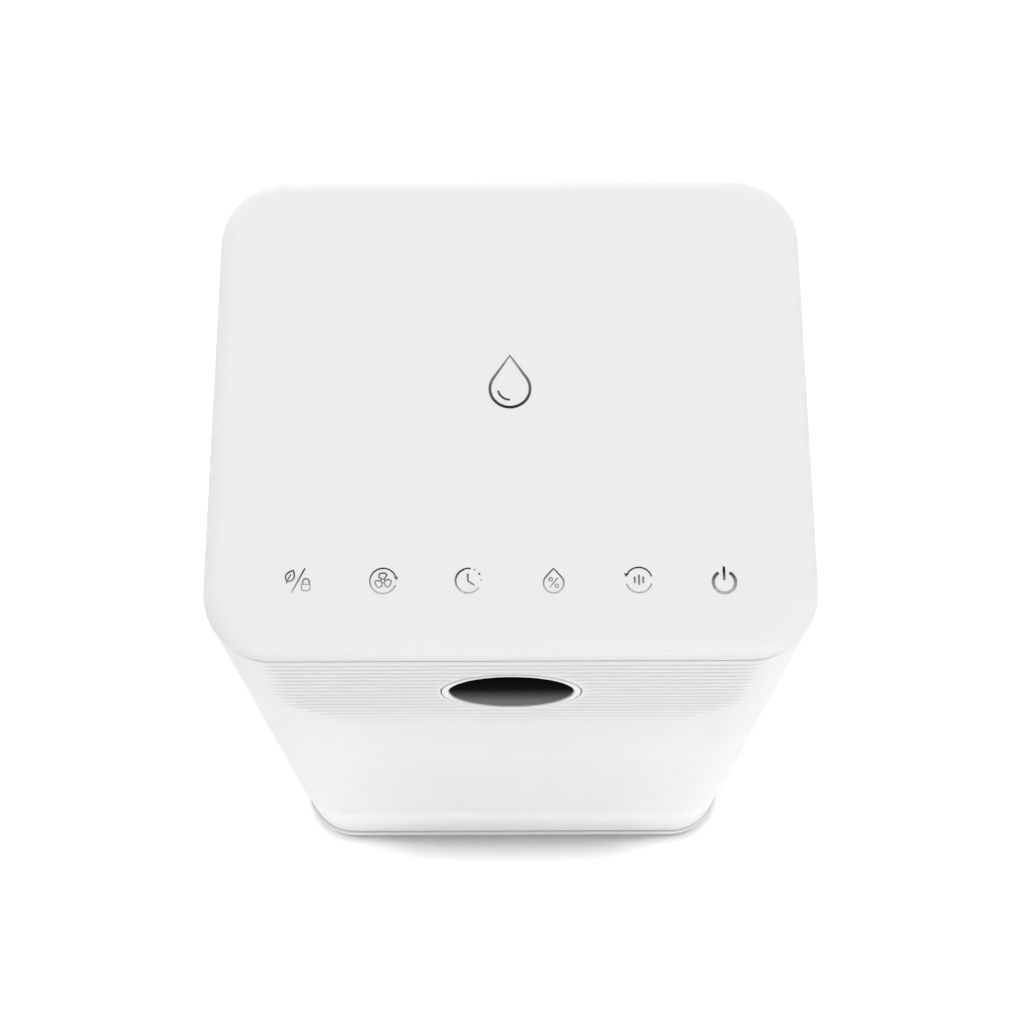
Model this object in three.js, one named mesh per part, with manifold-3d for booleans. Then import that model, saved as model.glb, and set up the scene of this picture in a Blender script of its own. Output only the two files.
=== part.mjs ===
// Compact floor-standing compressor dehumidifier, in millimetres.
// +Z is up and the front, with the round display, faces -Y. The origin is the middle of the footprint,
// on the floor. The water tank is a drawer at the bottom. The compressor stands on a deck above it.
// The two coils, the fan and the air filter fill the upper half, behind the rear inlet grille.
import * as THREE from "three";
import { mergeVertices } from "three/addons/utils/BufferGeometryUtils.js";
import Module from "manifold-3d";

const wasm = await Module();
wasm.setup();

// ---------------------------------------------------------------- driving dimensions
const WIDTH = 250;
const DEPTH = 215;
const HEIGHT = 435;
const CORNER_R = 29; // vertical edges of the casing
const WALL = 2.5;
const GAP = 0.3; // clearance between neighbouring pieces
const FOOT_H = 5;
const CAP_EDGE_R = 9; // rounded rim of the top cover
const CAP_LOW = 425;
const COVER_TOP = 423.8;
const COVER_LOW = 85;
const TANK_TOP = 84;
const TANK_LOW = 14;
const PLINTH_TOP = 13;
const SPLIT_Y = -40; // where the front cover meets the rear cover on each side
const SHELL_INSET = 0.3; // the covers stand this far inside the top cover's rim
const TANK_SETBACK = 1.5; // the tank's front stands this far behind the front cover

const DISPLAY_Z = 371.5;
const BEZEL_R = 29.9;
const LENS_R = 26.6;
const RIB_PITCH = 6;
const RIB_TOP_Z = 416;
const RIB_LOW_Z = 292; // the grooves have faded out here
const RIB_FADE = 60; // height over which they fade
const RIB_HALF_W = 94;
const RIB_DEPTH = 0.6;
const RIB_GROOVE = 2;

const DECK_LOW = 82.3;
const DECK_TOP = 86;
const COMPRESSOR = { x: -48, y: 42, r: 46, low: 98, high: 236 };
const EAR_R = 58; // radius of the compressor's three mounting ears
const EAR_ANGLES = [30, 150, 270];
const FAN = { x: 0, z: 338, impellerR: 56, front: -36, back: 22 };
const COIL = { halfW: 98, low: 266, high: 406 };
const EVAPORATOR_Y = [62, 86];
const CONDENSER_Y = [32, 56];
const DRAIN = { x: 62, y: 60 };
const INLET = { halfW: 92, low: 262, high: 412 };
const OUTLET = { front: -38, back: 58, low: 250, high: 330 };
const GRIP = { y: 6, z: 391, length: 80, height: 26, depth: 14 };
const FILTER = { left: -119, right: 104, front: 91, back: 96, low: 266, high: 408 };
const FOOT_X = 92;
const FOOT_Y = 78;
const FLOAT = { x: -60, pivotY: 8, pivotZ: 66 };
const SPOUT = { x: 60, z: 226 };
const GLAND = { x: -84, z: 44 };
const EMBLEM = { y: 7, r: 9, tip: 16 };
const EMBLEM_FACE_Z = HEIGHT - 0.3; // the badge stands 0.3 mm proud of the top
const SCREWS = [[-92, 150], [92, 150], [-92, 236], [92, 236]]; // x and z on the rear wall

// ---------------------------------------------------------------- solids
const FINE = 4; // curve segments per half quarter of a large arc
const ROUND = 24; // sides of a small cylinder

function solid(geometry) {
  const bare = geometry.index ? geometry.toNonIndexed() : geometry.clone();
  for (const name of ["normal", "uv"]) bare.deleteAttribute(name);
  const merged = mergeVertices(bare, 1e-4);
  const vertProperties = merged.attributes.position.array;
  const triVerts = new Uint32Array(merged.index.array);
  return new wasm.Manifold(new wasm.Mesh({ numProp: 3, vertProperties, triVerts }));
}

function geometryOf(made) {
  const mesh = made.getMesh();
  return new THREE.BufferGeometry()
    .setAttribute("position", new THREE.BufferAttribute(new Float32Array(mesh.vertProperties), 3))
    .setIndex(new THREE.BufferAttribute(new Uint32Array(mesh.triVerts), 1));
}

const join = (...parts) => parts.flat().reduce((a, b) => a.add(b));
const cut = (body, ...tools) => tools.flat().reduce((a, b) => a.subtract(b), body);

function block(x0, x1, y0, y1, z0, z1) {
  const box = new THREE.BoxGeometry(x1 - x0, y1 - y0, z1 - z0);
  return solid(box.translate((x0 + x1) / 2, (y0 + y1) / 2, (z0 + z1) / 2));
}

// A rectangle with rounded corners, about (cx, cy).
function roundedRect(w, h, r, cx = 0, cy = 0) {
  const shape = new THREE.Shape();
  const [x, y] = [w / 2 - r, h / 2 - r];
  shape.absarc(cx + x, cy + y, r, 0, Math.PI / 2);
  shape.absarc(cx - x, cy + y, r, Math.PI / 2, Math.PI);
  shape.absarc(cx - x, cy - y, r, Math.PI, 1.5 * Math.PI);
  shape.absarc(cx + x, cy - y, r, 1.5 * Math.PI, 2 * Math.PI);
  return shape;
}

function polygon(points) {
  return new THREE.Shape(points.map(([x, y]) => new THREE.Vector2(x, y)));
}

function extruded(shape, depth, curveSegments) {
  return new THREE.ExtrudeGeometry(shape, { depth, bevelEnabled: false, curveSegments });
}

// A shape drawn in X and Y, from z0 to z1.
const plateZ = (shape, z0, z1, segments = FINE) =>
  solid(extruded(shape, z1 - z0, segments).translate(0, 0, z0));

// A shape drawn in X and Z, from y0 to y1.
const plateY = (shape, y0, y1, segments = FINE) =>
  solid(extruded(shape, y1 - y0, segments).rotateX(Math.PI / 2).translate(0, y1, 0));

// A shape drawn in Y and Z, from x0 to x1.
function plateX(shape, x0, x1, segments = FINE) {
  const turn = new THREE.Matrix4().makeBasis(
    new THREE.Vector3(0, 1, 0),
    new THREE.Vector3(0, 0, 1),
    new THREE.Vector3(1, 0, 0),
  );
  return solid(extruded(shape, x1 - x0, segments).applyMatrix4(turn).translate(x0, 0, 0));
}

// Cylinders along each axis: radius, then the two ends, then the centre in the other two directions.
const rodZ = (r, z0, z1, x, y, sides = ROUND) =>
  solid(new THREE.CylinderGeometry(r, r, z1 - z0, sides).rotateX(Math.PI / 2).translate(x, y, (z0 + z1) / 2));
const rodY = (r, y0, y1, x, z, sides = ROUND) =>
  solid(new THREE.CylinderGeometry(r, r, y1 - y0, sides).translate(x, (y0 + y1) / 2, z));
const rodX = (r, x0, x1, y, z, sides = ROUND) =>
  solid(new THREE.CylinderGeometry(r, r, x1 - x0, sides).rotateZ(Math.PI / 2).translate((x0 + x1) / 2, y, z));

// A profile of [radius, height] pairs turned about a vertical axis, or about one along Y.
const lathe = (profile, sides) =>
  new THREE.LatheGeometry(profile.map(([r, h]) => new THREE.Vector2(r, h)), sides);
const turnedZ = (profile, x, y, sides = ROUND) =>
  solid(lathe(profile, sides).rotateX(Math.PI / 2).translate(x, y, 0));
const turnedY = (profile, x, z, sides = ROUND) => solid(lathe(profile, sides).translate(x, 0, z));

function tube(points, r, sides = 8, steps = 40) {
  const path = new THREE.CatmullRomCurve3(points.map((p) => new THREE.Vector3(...p)), false, "centripetal");
  const shape = new THREE.Shape();
  for (let i = 0; i < sides; i++) {
    const a = (2 * Math.PI * i) / sides;
    if (i === 0) shape.moveTo(r * Math.cos(a), r * Math.sin(a));
    else shape.lineTo(r * Math.cos(a), r * Math.sin(a));
  }
  return solid(new THREE.ExtrudeGeometry(shape, { steps, extrudePath: path, bevelEnabled: false }));
}

// ---------------------------------------------------------------- materials
const finish = (color, roughness, metalness = 0) =>
  new THREE.MeshStandardMaterial({ color, roughness, metalness });
const WHITE = finish(0xeeeeee, 0.45);
const GLOSS_WHITE = finish(0xf4f4f4, 0.25);
const BLACK_LENS = finish(0x0c0c0e, 0.08);
const CHROME = finish(0xb8b8b8, 0.2, 1);
const RUBBER = finish(0x2a2a2a, 0.8);
const TANK = finish(0xdfe6ea, 0.3);
const STEEL = finish(0xa8abae, 0.35, 1);
const BLACK_METAL = finish(0x1c1c1e, 0.4);
const COPPER = finish(0xb87345, 0.35, 1);
const ALUMINIUM = finish(0xc6c9cc, 0.4, 1);
const GREY = finish(0x8f9498, 0.55);
const BOARD = finish(0x1e5b37, 0.5);
const MESH = finish(0x3a3d40, 0.8);

const dehumidifier = new THREE.Group();

function piece(name, made, material) {
  const mesh = new THREE.Mesh(geometryOf(made), material);
  mesh.name = name;
  dehumidifier.add(mesh);
}

// ---------------------------------------------------------------- casing
// The casing's outline, drawn in by an inset.
const outline = (inset) => roundedRect(WIDTH - 2 * inset, DEPTH - 2 * inset, CORNER_R - inset);

// A ring of casing wall between two heights, its outer face drawn in by an inset.
function wallRing(inset, z0, z1, thickness = WALL) {
  return cut(plateZ(outline(inset), z0, z1), plateZ(outline(inset + thickness), z0 - 1, z1 + 1));
}

const ahead = (y, z0, z1) => block(-WIDTH, WIDTH, -DEPTH, y, z0, z1);
const behind = (y, z0, z1) => block(-WIDTH, WIDTH, y, DEPTH, z0, z1);

// A plain water drop, its point to the rear: an arc closed by two straight flanks.
function dropShape(grow) {
  const r = EMBLEM.r + grow;
  const points = [[0, EMBLEM.y + EMBLEM.tip + 1.6 * grow]];
  for (let a = 150; a <= 390; a += 15) {
    const t = THREE.MathUtils.degToRad(a);
    points.push([r * Math.cos(t), EMBLEM.y + r * Math.sin(t)]);
  }
  return polygon(points);
}

function topCover() {
  const lift = CAP_EDGE_R;
  const dome = new THREE.ExtrudeGeometry(outline(0), {
    depth: HEIGHT - CAP_LOW,
    bevelThickness: lift,
    bevelSize: lift,
    bevelOffset: -lift,
    bevelSegments: 4,
    curveSegments: FINE,
  });
  const top = EMBLEM_FACE_Z;
  const outer = solid(dome.translate(0, 0, top - lift - (HEIGHT - CAP_LOW)));
  const rim = cut(outer, block(-WIDTH, WIDTH, -DEPTH, DEPTH, 0, CAP_LOW));
  const hollow = plateZ(outline(WALL + 4), CAP_LOW - 1, top - WALL);
  const locator = wallRing(SHELL_INSET + WALL + GAP, CAP_LOW - 8, CAP_LOW + 1, 2.2);
  const seat = plateZ(dropShape(GAP), top - 1, HEIGHT);
  return cut(join(rim, locator), hollow, seat, plateZ(outline(WALL + 4), CAP_LOW - 9, CAP_LOW));
}
piece("top_cover", topCover(), WHITE);
piece("top_emblem", plateZ(dropShape(0), EMBLEM_FACE_Z - 0.7, HEIGHT), CHROME);

// Horizontal V grooves between the corner radii, from the top edge down to where they fade out.
function ribGrooves() {
  const face = -DEPTH / 2 + SHELL_INSET;
  const half = RIB_GROOVE / 2;
  const grooves = [];
  for (let z = RIB_TOP_Z; z > RIB_LOW_Z + 2 * RIB_PITCH; z -= RIB_PITCH) {
    const depth = RIB_DEPTH * Math.min(1, (z - RIB_LOW_Z) / RIB_FADE);
    const section = polygon([[face - 1, z - 2 * half], [face + depth, z], [face - 1, z + 2 * half]]);
    grooves.push(plateX(section, -RIB_HALF_W, RIB_HALF_W));
  }
  return grooves;
}

function frontCover() {
  const ring = wallRing(SHELL_INSET, COVER_LOW, COVER_TOP);
  const shell = cut(ring, behind(SPLIT_Y - GAP, COVER_LOW - 1, COVER_TOP + 1));
  const window = rodY(BEZEL_R + 2 * GAP, -DEPTH, -DEPTH / 2 + 20, 0, DISPLAY_Z, 32);
  return cut(shell, window, ribGrooves());
}
piece("front_cover", frontCover(), WHITE);

function rearCover() {
  const inner = DEPTH / 2 - SHELL_INSET - WALL;
  const ring = wallRing(SHELL_INSET, PLINTH_TOP + GAP, COVER_TOP);
  const shell = cut(ring, ahead(SPLIT_Y, 0, HEIGHT));
  const bosses = SCREWS.map(([x, z]) => rodY(6.5, inner - 8, inner + 1, x, z));
  const inletW = 2 * INLET.halfW;
  const inletH = INLET.high - INLET.low;
  const inlet = roundedRect(inletW + 2 * GAP, inletH + 2 * GAP, 8, 0, (INLET.low + INLET.high) / 2);
  const outlet = roundedRect(
    OUTLET.back - OUTLET.front + 2 * GAP,
    OUTLET.high - OUTLET.low + 2 * GAP,
    8,
    (OUTLET.front + OUTLET.back) / 2,
    (OUTLET.low + OUTLET.high) / 2,
  );
  const grip = roundedRect(GRIP.length + 2 * GAP, GRIP.height + 2 * GAP, 12.5, GRIP.y, GRIP.z);
  const openings = [
    plateY(inlet, inner - 2, DEPTH, 3),
    plateX(outlet, WIDTH / 2 - 20, WIDTH, 3),
    plateX(grip, WIDTH / 2 - 10, WIDTH, 3),
    plateX(grip, -WIDTH, -WIDTH / 2 + 10, 3),
    block(-WIDTH, -104, FILTER.front - 5, FILTER.back + 3, INLET.low, INLET.high),
    rodY(13 + GAP, inner - 3, DEPTH, SPOUT.x, SPOUT.z, ROUND),
    rodY(7 + GAP, inner - 3, DEPTH, GLAND.x, GLAND.z, ROUND),
    ...SCREWS.map(([x, z]) => rodY(2.5, inner - 12, DEPTH, x, z, 16)),
    ...SCREWS.map(([x, z]) => rodY(4.5, DEPTH / 2 - 3.2, DEPTH, x, z, 20)),
  ];
  return cut(join(shell, bosses), openings);
}
piece("rear_cover", rearCover(), WHITE);

SCREWS.forEach(([x, z], i) => {
  const head = rodY(4, DEPTH / 2 - 2.8, DEPTH / 2 - 0.6, x, z, 20);
  const shank = rodY(2, DEPTH / 2 - 18, DEPTH / 2 - 2.7, x, z, 12);
  const slot = block(x - 3, x + 3, DEPTH / 2 - 1.6, DEPTH, z - 0.5, z + 0.5);
  const cross = block(x - 0.5, x + 0.5, DEPTH / 2 - 1.6, DEPTH, z - 3, z + 3);
  piece(`rear_screw_${i + 1}`, cut(join(head, shank), slot, cross), STEEL);
});

// ---------------------------------------------------------------- base and feet
const BAY_X = 114.3; // inner face of the drawer bay's side walls
const BAY_BACK = 88;
function baseTray() {
  const floor = plateZ(outline(SHELL_INSET), FOOT_H, FOOT_H + 3);
  const lip = wallRing(SHELL_INSET, FOOT_H + 2, PLINTH_TOP);
  const sides = [-1, 1].map((s) => {
    const [a, b] = [s * BAY_X, s * (BAY_X + 3)].sort((p, q) => p - q);
    return block(a, b, SPLIT_Y + 6, BAY_BACK + 2.5, FOOT_H + 2, DECK_LOW - GAP);
  });
  const back = block(-BAY_X - 3, BAY_X + 3, BAY_BACK, BAY_BACK + 2.5, FOOT_H + 2, DECK_LOW - GAP);
  const rails = [-1, 1].map((s) => block(s * 88 - 4, s * 88 + 4, -96, BAY_BACK + 1, FOOT_H + 2, TANK_LOW));
  const stops = [-1, 1].map((s) => block(s * 88 - 4, s * 88 + 4, BAY_BACK - 3, BAY_BACK + 1, FOOT_H + 2, 40));
  const window = block(-7, 7, BAY_BACK - 1, BAY_BACK + 4, 40, 68);
  const pegs = footPlaces().map(([x, y]) => rodZ(4 + GAP, FOOT_H - 1, FOOT_H + 4, x, y, 16));
  return cut(join(floor, lip, sides, back, rails, stops), window, pegs);
}
function footPlaces() {
  return [-1, 1].flatMap((s) => [-1, 1].map((t) => [t * FOOT_X, s * FOOT_Y]));
}
piece("base_tray", baseTray(), WHITE);

const FOOT_NAMES = ["foot_front_left", "foot_front_right", "foot_rear_left", "foot_rear_right"];
footPlaces().forEach(([x, y], i) => {
  const pad = [[0, 0], [9, 0], [11, 1.5], [11, FOOT_H - GAP]];
  const peg = [[4, FOOT_H - GAP], [4, FOOT_H + 3], [0, FOOT_H + 3]];
  piece(FOOT_NAMES[i], turnedZ([...pad, ...peg], x, y, 16), RUBBER);
});

// ---------------------------------------------------------------- display and touch panel
const FACE_Y = -DEPTH / 2;
const bezelProfile = [
  [LENS_R + GAP, FACE_Y + 0.4],
  [LENS_R + 0.8, FACE_Y],
  [BEZEL_R - 0.6, FACE_Y],
  [BEZEL_R, FACE_Y + 0.6],
  [BEZEL_R, FACE_Y + 6],
  [24, FACE_Y + 6],
  [24, FACE_Y + 2.9],
  [LENS_R + GAP, FACE_Y + 2.9],
];
piece("display_bezel", turnedY([...bezelProfile, bezelProfile[0]], 0, DISPLAY_Z, 32), GLOSS_WHITE);
piece("display_lens", rodY(LENS_R, FACE_Y + 0.6, FACE_Y + 2.6, 0, DISPLAY_Z, 32), BLACK_LENS);

function displayBoard() {
  const board = rodY(32, FACE_Y + 7, FACE_Y + 8.6, 0, DISPLAY_Z, 32);
  const digits = block(-16, 16, FACE_Y + 3.4, FACE_Y + 7.5, DISPLAY_Z - 9, DISPLAY_Z + 9);
  const plug = block(-8, 8, FACE_Y + 8, FACE_Y + 14, DISPLAY_Z - 24, DISPLAY_Z - 18);
  return join(board, digits, plug);
}
piece("display_board", displayBoard(), BOARD);

function touchBoard() {
  const board = block(-104, 104, -92, -62, 427, 428.6);
  const pads = [-2.5, -1.5, -0.5, 0.5, 1.5, 2.5].map((k) => rodZ(6, 428, 431.4, k * 34.3, -77, 10));
  return join(board, pads);
}
piece("touch_board", touchBoard(), BOARD);

// ---------------------------------------------------------------- grilles and carry grips
// Slot centres across a w by h panel: columns of slots with a margin between and around them.
function slotGrid(w, h, cx, cz, columns, pitch, margin) {
  const slotW = (w - margin * (columns + 1)) / columns;
  const rows = Math.floor((h - 2 * margin) / pitch);
  const places = [];
  for (let c = 0; c < columns; c++) {
    const x0 = cx - w / 2 + margin + c * (slotW + margin);
    for (let k = 0; k < rows; k++) places.push([x0, x0 + slotW, cz + (k - (rows - 1) / 2) * pitch]);
  }
  return places;
}

function inletGrille() {
  const [w, h, z] = [2 * INLET.halfW, INLET.high - INLET.low, (INLET.low + INLET.high) / 2];
  const face = plateY(roundedRect(w, h, 8, 0, z), DEPTH / 2 - 2.6, DEPTH / 2 - 0.1, 3);
  const slots = slotGrid(w, h, 0, z, 2, 9, 8).map(([a, b, at]) => block(a, b, 90, DEPTH, at - 2.7, at + 2.7));
  const ring = roundedRect(w + 8, h + 8, 10, 0, z);
  ring.holes.push(roundedRect(w - 8, h - 8, 6, 0, z));
  const inner = DEPTH / 2 - SHELL_INSET - WALL;
  const neck = roundedRect(w, h, 8, 0, z);
  neck.holes.push(roundedRect(w - 8, h - 8, 6, 0, z));
  const rims = [plateY(neck, inner - 1.5, DEPTH / 2 - 1, 3), plateY(ring, inner - GAP - 1.6, inner - GAP, 3)];
  return join(cut(face, slots), rims);
}
piece("inlet_grille", inletGrille(), WHITE);

function outletGrille() {
  const [w, h] = [OUTLET.back - OUTLET.front, OUTLET.high - OUTLET.low];
  const [y, z] = [(OUTLET.front + OUTLET.back) / 2, (OUTLET.low + OUTLET.high) / 2];
  const face = plateX(roundedRect(w, h, 8, y, z), WIDTH / 2 - 2.6, WIDTH / 2 - 0.4, 3);
  const places = slotGrid(w, h, y, z, 1, 6, 6);
  const slots = places.map(([a, b, at]) => block(110, WIDTH, a, b, at - 1.7, at + 1.7));
  const inner = WIDTH / 2 - SHELL_INSET - WALL;
  const neck = roundedRect(w, h, 8, y, z);
  neck.holes.push(roundedRect(w - 7, h - 7, 6, y, z));
  const ring = roundedRect(w + 3, h + 6, 9, y - 0.5, z);
  ring.holes.push(roundedRect(w - 7, h - 7, 6, y, z));
  const rims = [plateX(neck, inner - 1, WIDTH / 2 - 1, 3), plateX(ring, inner - GAP - 0.9, inner - GAP, 3)];
  return join(cut(face, slots), rims);
}
piece("outlet_grille", outletGrille(), WHITE);

// A finger cup let into a side wall, open outwards. side is -1 for the left and 1 for the right.
function carryGrip(side) {
  const mouth = WIDTH / 2 - SHELL_INSET - 0.1;
  const floor = mouth - GRIP.depth;
  const wall = 2;
  const cup = plateX(roundedRect(GRIP.length, GRIP.height, 12, GRIP.y, GRIP.z), floor, mouth, 3);
  const hollow = roundedRect(GRIP.length - 2 * wall, GRIP.height - 2 * wall, 10, GRIP.y, GRIP.z);
  const inner = WIDTH / 2 - SHELL_INSET - WALL - GAP;
  const rim = roundedRect(GRIP.length + 6, GRIP.height + 6, 15, GRIP.y, GRIP.z);
  const flange = plateX(rim, inner - 1.5, inner, 3);
  const made = cut(join(cup, flange), plateX(hollow, floor + wall, mouth + 1, 3));
  return side > 0 ? made : made.mirror([1, 0, 0]);
}
piece("grip_left", carryGrip(-1), WHITE);
piece("grip_right", carryGrip(1), WHITE);

// ---------------------------------------------------------------- air filter
// It is drawn out to the left through the rear corner.
function filterFrame() {
  const { left, right, front, back, low, high } = FILTER;
  const bars = cut(
    block(left + 2, right, front, back, low, high),
    block(-110, 98, front - 1, back + 1, low + 6, high - 6),
    block(-114, 102, front + 1.2, back - 1.2, low + 4, high - 4),
  );
  const corner = wallRing(SHELL_INSET, INLET.low + GAP, INLET.high - GAP);
  const strip = block(-WIDTH, -104 - 2, front - 5 + GAP, back + 3 - GAP, 0, HEIGHT);
  const cap = corner.intersect(strip);
  const bridge = block(left + 1, -114.3, front, back, low, high);
  const notch = rodY(9, front - 20, back + 20, -WIDTH / 2 - 1.5, 337, 24);
  return cut(join(bars, cap, bridge), notch);
}
piece("filter_frame", filterFrame(), GREY);
const NET_EDGE = 4.3; // the net's edges lie in a groove round the frame
const netY = [FILTER.front + 1.5, FILTER.back - 1.5];
const filterNet = block(-113.7, 101.7, ...netY, FILTER.low + NET_EDGE, FILTER.high - NET_EDGE);
piece("filter_mesh", filterNet, MESH);

// ---------------------------------------------------------------- drain outlet and cord gland
const spoutProfile = [
  [4, DEPTH / 2 - 18],
  [6, DEPTH / 2 - 18],
  [6, DEPTH / 2 - 12],
  [13, DEPTH / 2 - 12],
  [13, DEPTH / 2 - 0.4],
  [11.5, DEPTH / 2 - 0.4],
  [11.5, DEPTH / 2 - 10.5],
  [6, DEPTH / 2 - 10.5],
  [6, DEPTH / 2 - 2.4],
  [4, DEPTH / 2 - 2.4],
];
piece("drain_spout", turnedY([...spoutProfile, spoutProfile[0]], SPOUT.x, SPOUT.z), WHITE);
const plugProfile = [
  [0, DEPTH / 2 - 9],
  [3.6, DEPTH / 2 - 9],
  [3.6, DEPTH / 2 - 2],
  [7.5, DEPTH / 2 - 2],
  [7.5, DEPTH / 2 - 0.2],
  [2.4, DEPTH / 2 - 0.2],
  [0, DEPTH / 2 - 0.2],
];
piece("drain_plug", turnedY(plugProfile, SPOUT.x, SPOUT.z, 18), RUBBER);

const glandProfile = [
  [3.8, DEPTH / 2 - 9],
  [10, DEPTH / 2 - 9],
  [10, DEPTH / 2 - 3.2],
  [7, DEPTH / 2 - 3.2],
  [7, DEPTH / 2 - 0.6],
  [5.6, DEPTH / 2 - 0.1],
  [3.8, DEPTH / 2 - 0.1],
];
piece("cord_gland", turnedY([...glandProfile, glandProfile[0]], GLAND.x, GLAND.z, 18), RUBBER);

// ---------------------------------------------------------------- water tank drawer
const TANK_BACK = 84;
const TANK_HALF_W = 112;
const TANK_FACE = -DEPTH / 2 + TANK_SETBACK; // outer face of the tank's front
const TANK_FRONT = TANK_FACE + WALL + GAP; // front wall of the water vessel
const TANK_RIM = 76;
const tankOutline = (inset) =>
  roundedRect(
    2 * TANK_HALF_W - 2 * inset,
    TANK_BACK - TANK_FRONT - 2 * inset,
    20 - inset,
    0,
    (TANK_BACK + TANK_FRONT) / 2,
  );

function tankBody() {
  const vessel = plateZ(tankOutline(0), TANK_LOW + GAP, TANK_RIM, 3);
  return cut(vessel, plateZ(tankOutline(2.2), TANK_LOW + GAP + 2.4, TANK_RIM + 1, 3));
}
piece("tank_body", tankBody(), TANK);

// The U-shaped front with a finger scoop in each side.
function tankFront() {
  const inset = TANK_SETBACK;
  const ring = wallRing(inset, TANK_LOW, TANK_TOP);
  const shell = cut(ring, behind(SPLIT_Y - 0.5, 0, TANK_TOP + 1));
  const half = WIDTH / 2 - inset;
  const scoops = [];
  const pads = [];
  for (const s of [-1, 1]) {
    const [a, b] = [s * (half - 9), s * (half - 1)].sort((p, q) => p - q);
    pads.push(plateX(roundedRect(34, 30, 10, -60, 52), a, b, 3));
    const [c, d] = [s * (half - 7), s * (half + 5)].sort((p, q) => p - q);
    scoops.push(plateX(roundedRect(30, 26, 8, -60, 52), c, d, 3));
  }
  return cut(join(shell, pads), scoops);
}
piece("tank_front", tankFront(), WHITE);

function tankLid() {
  const plate = plateZ(tankOutline(0.4), TANK_RIM + GAP, TANK_RIM + GAP + 2.2, 3);
  const skirt = cut(
    plateZ(tankOutline(2.2 + GAP), TANK_RIM - 3, TANK_RIM + 1, 3),
    plateZ(tankOutline(4.2), TANK_RIM - 4, TANK_RIM + 2, 3),
  );
  const inlet = plateZ(roundedRect(64, 44, 12, DRAIN.x, 50), TANK_RIM - 5, TANK_RIM + 5, 3);
  const pour = plateZ(roundedRect(40, 22, 8, 60, -82), TANK_RIM - 5, TANK_RIM + 5, 3);
  const lugs = [-1, 1].map((s) => {
    const x = FLOAT.x + s * 12;
    const lug = block(x - 1.2, x + 1.2, FLOAT.pivotY - 4, FLOAT.pivotY + 4, FLOAT.pivotZ - 4, TANK_RIM + 1);
    return cut(lug, rodX(2 + GAP, x - 3, x + 3, FLOAT.pivotY, FLOAT.pivotZ, 16));
  });
  return join(cut(join(plate, skirt), inlet, pour), lugs);
}
piece("tank_lid", tankLid(), TANK);

// The float hangs at its lower stop with the tank empty, and swings up on its pin as the water rises.
const FLOAT_BOX = { front: 28, back: 60, low: 22, high: 42, halfW: 16 };
function tankFloat() {
  const { front, back, low, high, halfW } = FLOAT_BOX;
  const body = roundedRect(back - front, high - low, 5, (front + back) / 2, (low + high) / 2);
  const bob = plateX(body, FLOAT.x - halfW, FLOAT.x + halfW, 2);
  const arm = polygon([
    [FLOAT.pivotY - 3, FLOAT.pivotZ + 2.5],
    [FLOAT.pivotY - 3, FLOAT.pivotZ - 3],
    [front + 6, high - 2],
    [front + 16, high - 2],
    [FLOAT.pivotY + 4, FLOAT.pivotZ + 2.5],
  ]);
  const pin = rodX(2, FLOAT.x - 15, FLOAT.x + 15, FLOAT.pivotY, FLOAT.pivotZ, 16);
  const pocket = rodZ(5 + GAP, high - 5, high + 2, FLOAT.x, back - 9, 16);
  return cut(join(bob, plateX(arm, FLOAT.x - 4, FLOAT.x + 4), pin), pocket);
}
piece("tank_float", tankFloat(), GREY);
const magnet = rodZ(5, FLOAT_BOX.high - 4.6, FLOAT_BOX.high - 0.5, FLOAT.x, FLOAT_BOX.back - 9, 16);
piece("float_magnet", magnet, STEEL);

// ---------------------------------------------------------------- tank switch
const SWITCH = { pivotY: BAY_BACK + 5.5, pivotZ: 62, halfW: 9 };
function tankSwitch() {
  const y0 = BAY_BACK + 2.5 + GAP;
  const body = block(-SWITCH.halfW, SWITCH.halfW, y0 + 4, y0 + 12, 42, 56);
  const foot = block(-SWITCH.halfW, SWITCH.halfW, y0, y0 + 12, 69, 72);
  const ears = [-1, 1].map((s) => {
    const x = s * 7.75;
    const ear = block(x - 1.25, x + 1.25, y0, y0 + 12, 50, 70);
    return cut(ear, rodX(1.2 + GAP, x - 2, x + 2, SWITCH.pivotY, SWITCH.pivotZ, 12));
  });
  return join(cut(body, block(-6.5, 6.5, y0 + 3, y0 + 6.5, 40, 58)), foot, ears);
}
piece("tank_switch", tankSwitch(), BLACK_METAL);
function switchLever() {
  const [y, z] = [SWITCH.pivotY, SWITCH.pivotZ];
  const tip = TANK_BACK + 0.8; // just clear of the tank's rear wall
  const blade = polygon([[y - 1.2, z + 1.2], [tip, 50], [tip, 48], [tip + 1.2, 47], [y + 1.2, z - 0.6]]);
  return join(plateX(blade, -5.5, 5.5), rodX(1.2, -8.6, 8.6, y, z, 12));
}
piece("switch_lever", switchLever(), STEEL);

// ---------------------------------------------------------------- deck and compressor
const earPlaces = EAR_ANGLES.map((a) => {
  const t = THREE.MathUtils.degToRad(a);
  return [COMPRESSOR.x + EAR_R * Math.cos(t), COMPRESSOR.y + EAR_R * Math.sin(t)];
});

function chassisDeck() {
  const edge = SHELL_INSET + WALL + 2.2;
  const plate = plateZ(outline(edge), DECK_LOW, DECK_TOP);
  const curb = cut(
    plateZ(outline(edge), DECK_TOP - 1, DECK_TOP + 6),
    plateZ(outline(edge + 2), DECK_TOP - 2, DECK_TOP + 7),
  );
  const holes = earPlaces.map(([x, y]) => rodZ(3 + GAP, DECK_LOW - 1, DECK_TOP + 1, x, y, 16));
  return cut(join(plate, curb), holes, rodZ(9, DECK_LOW - 1, DECK_TOP + 1, DRAIN.x, DRAIN.y, 24));
}
piece("chassis_deck", chassisDeck(), GREY);

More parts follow.
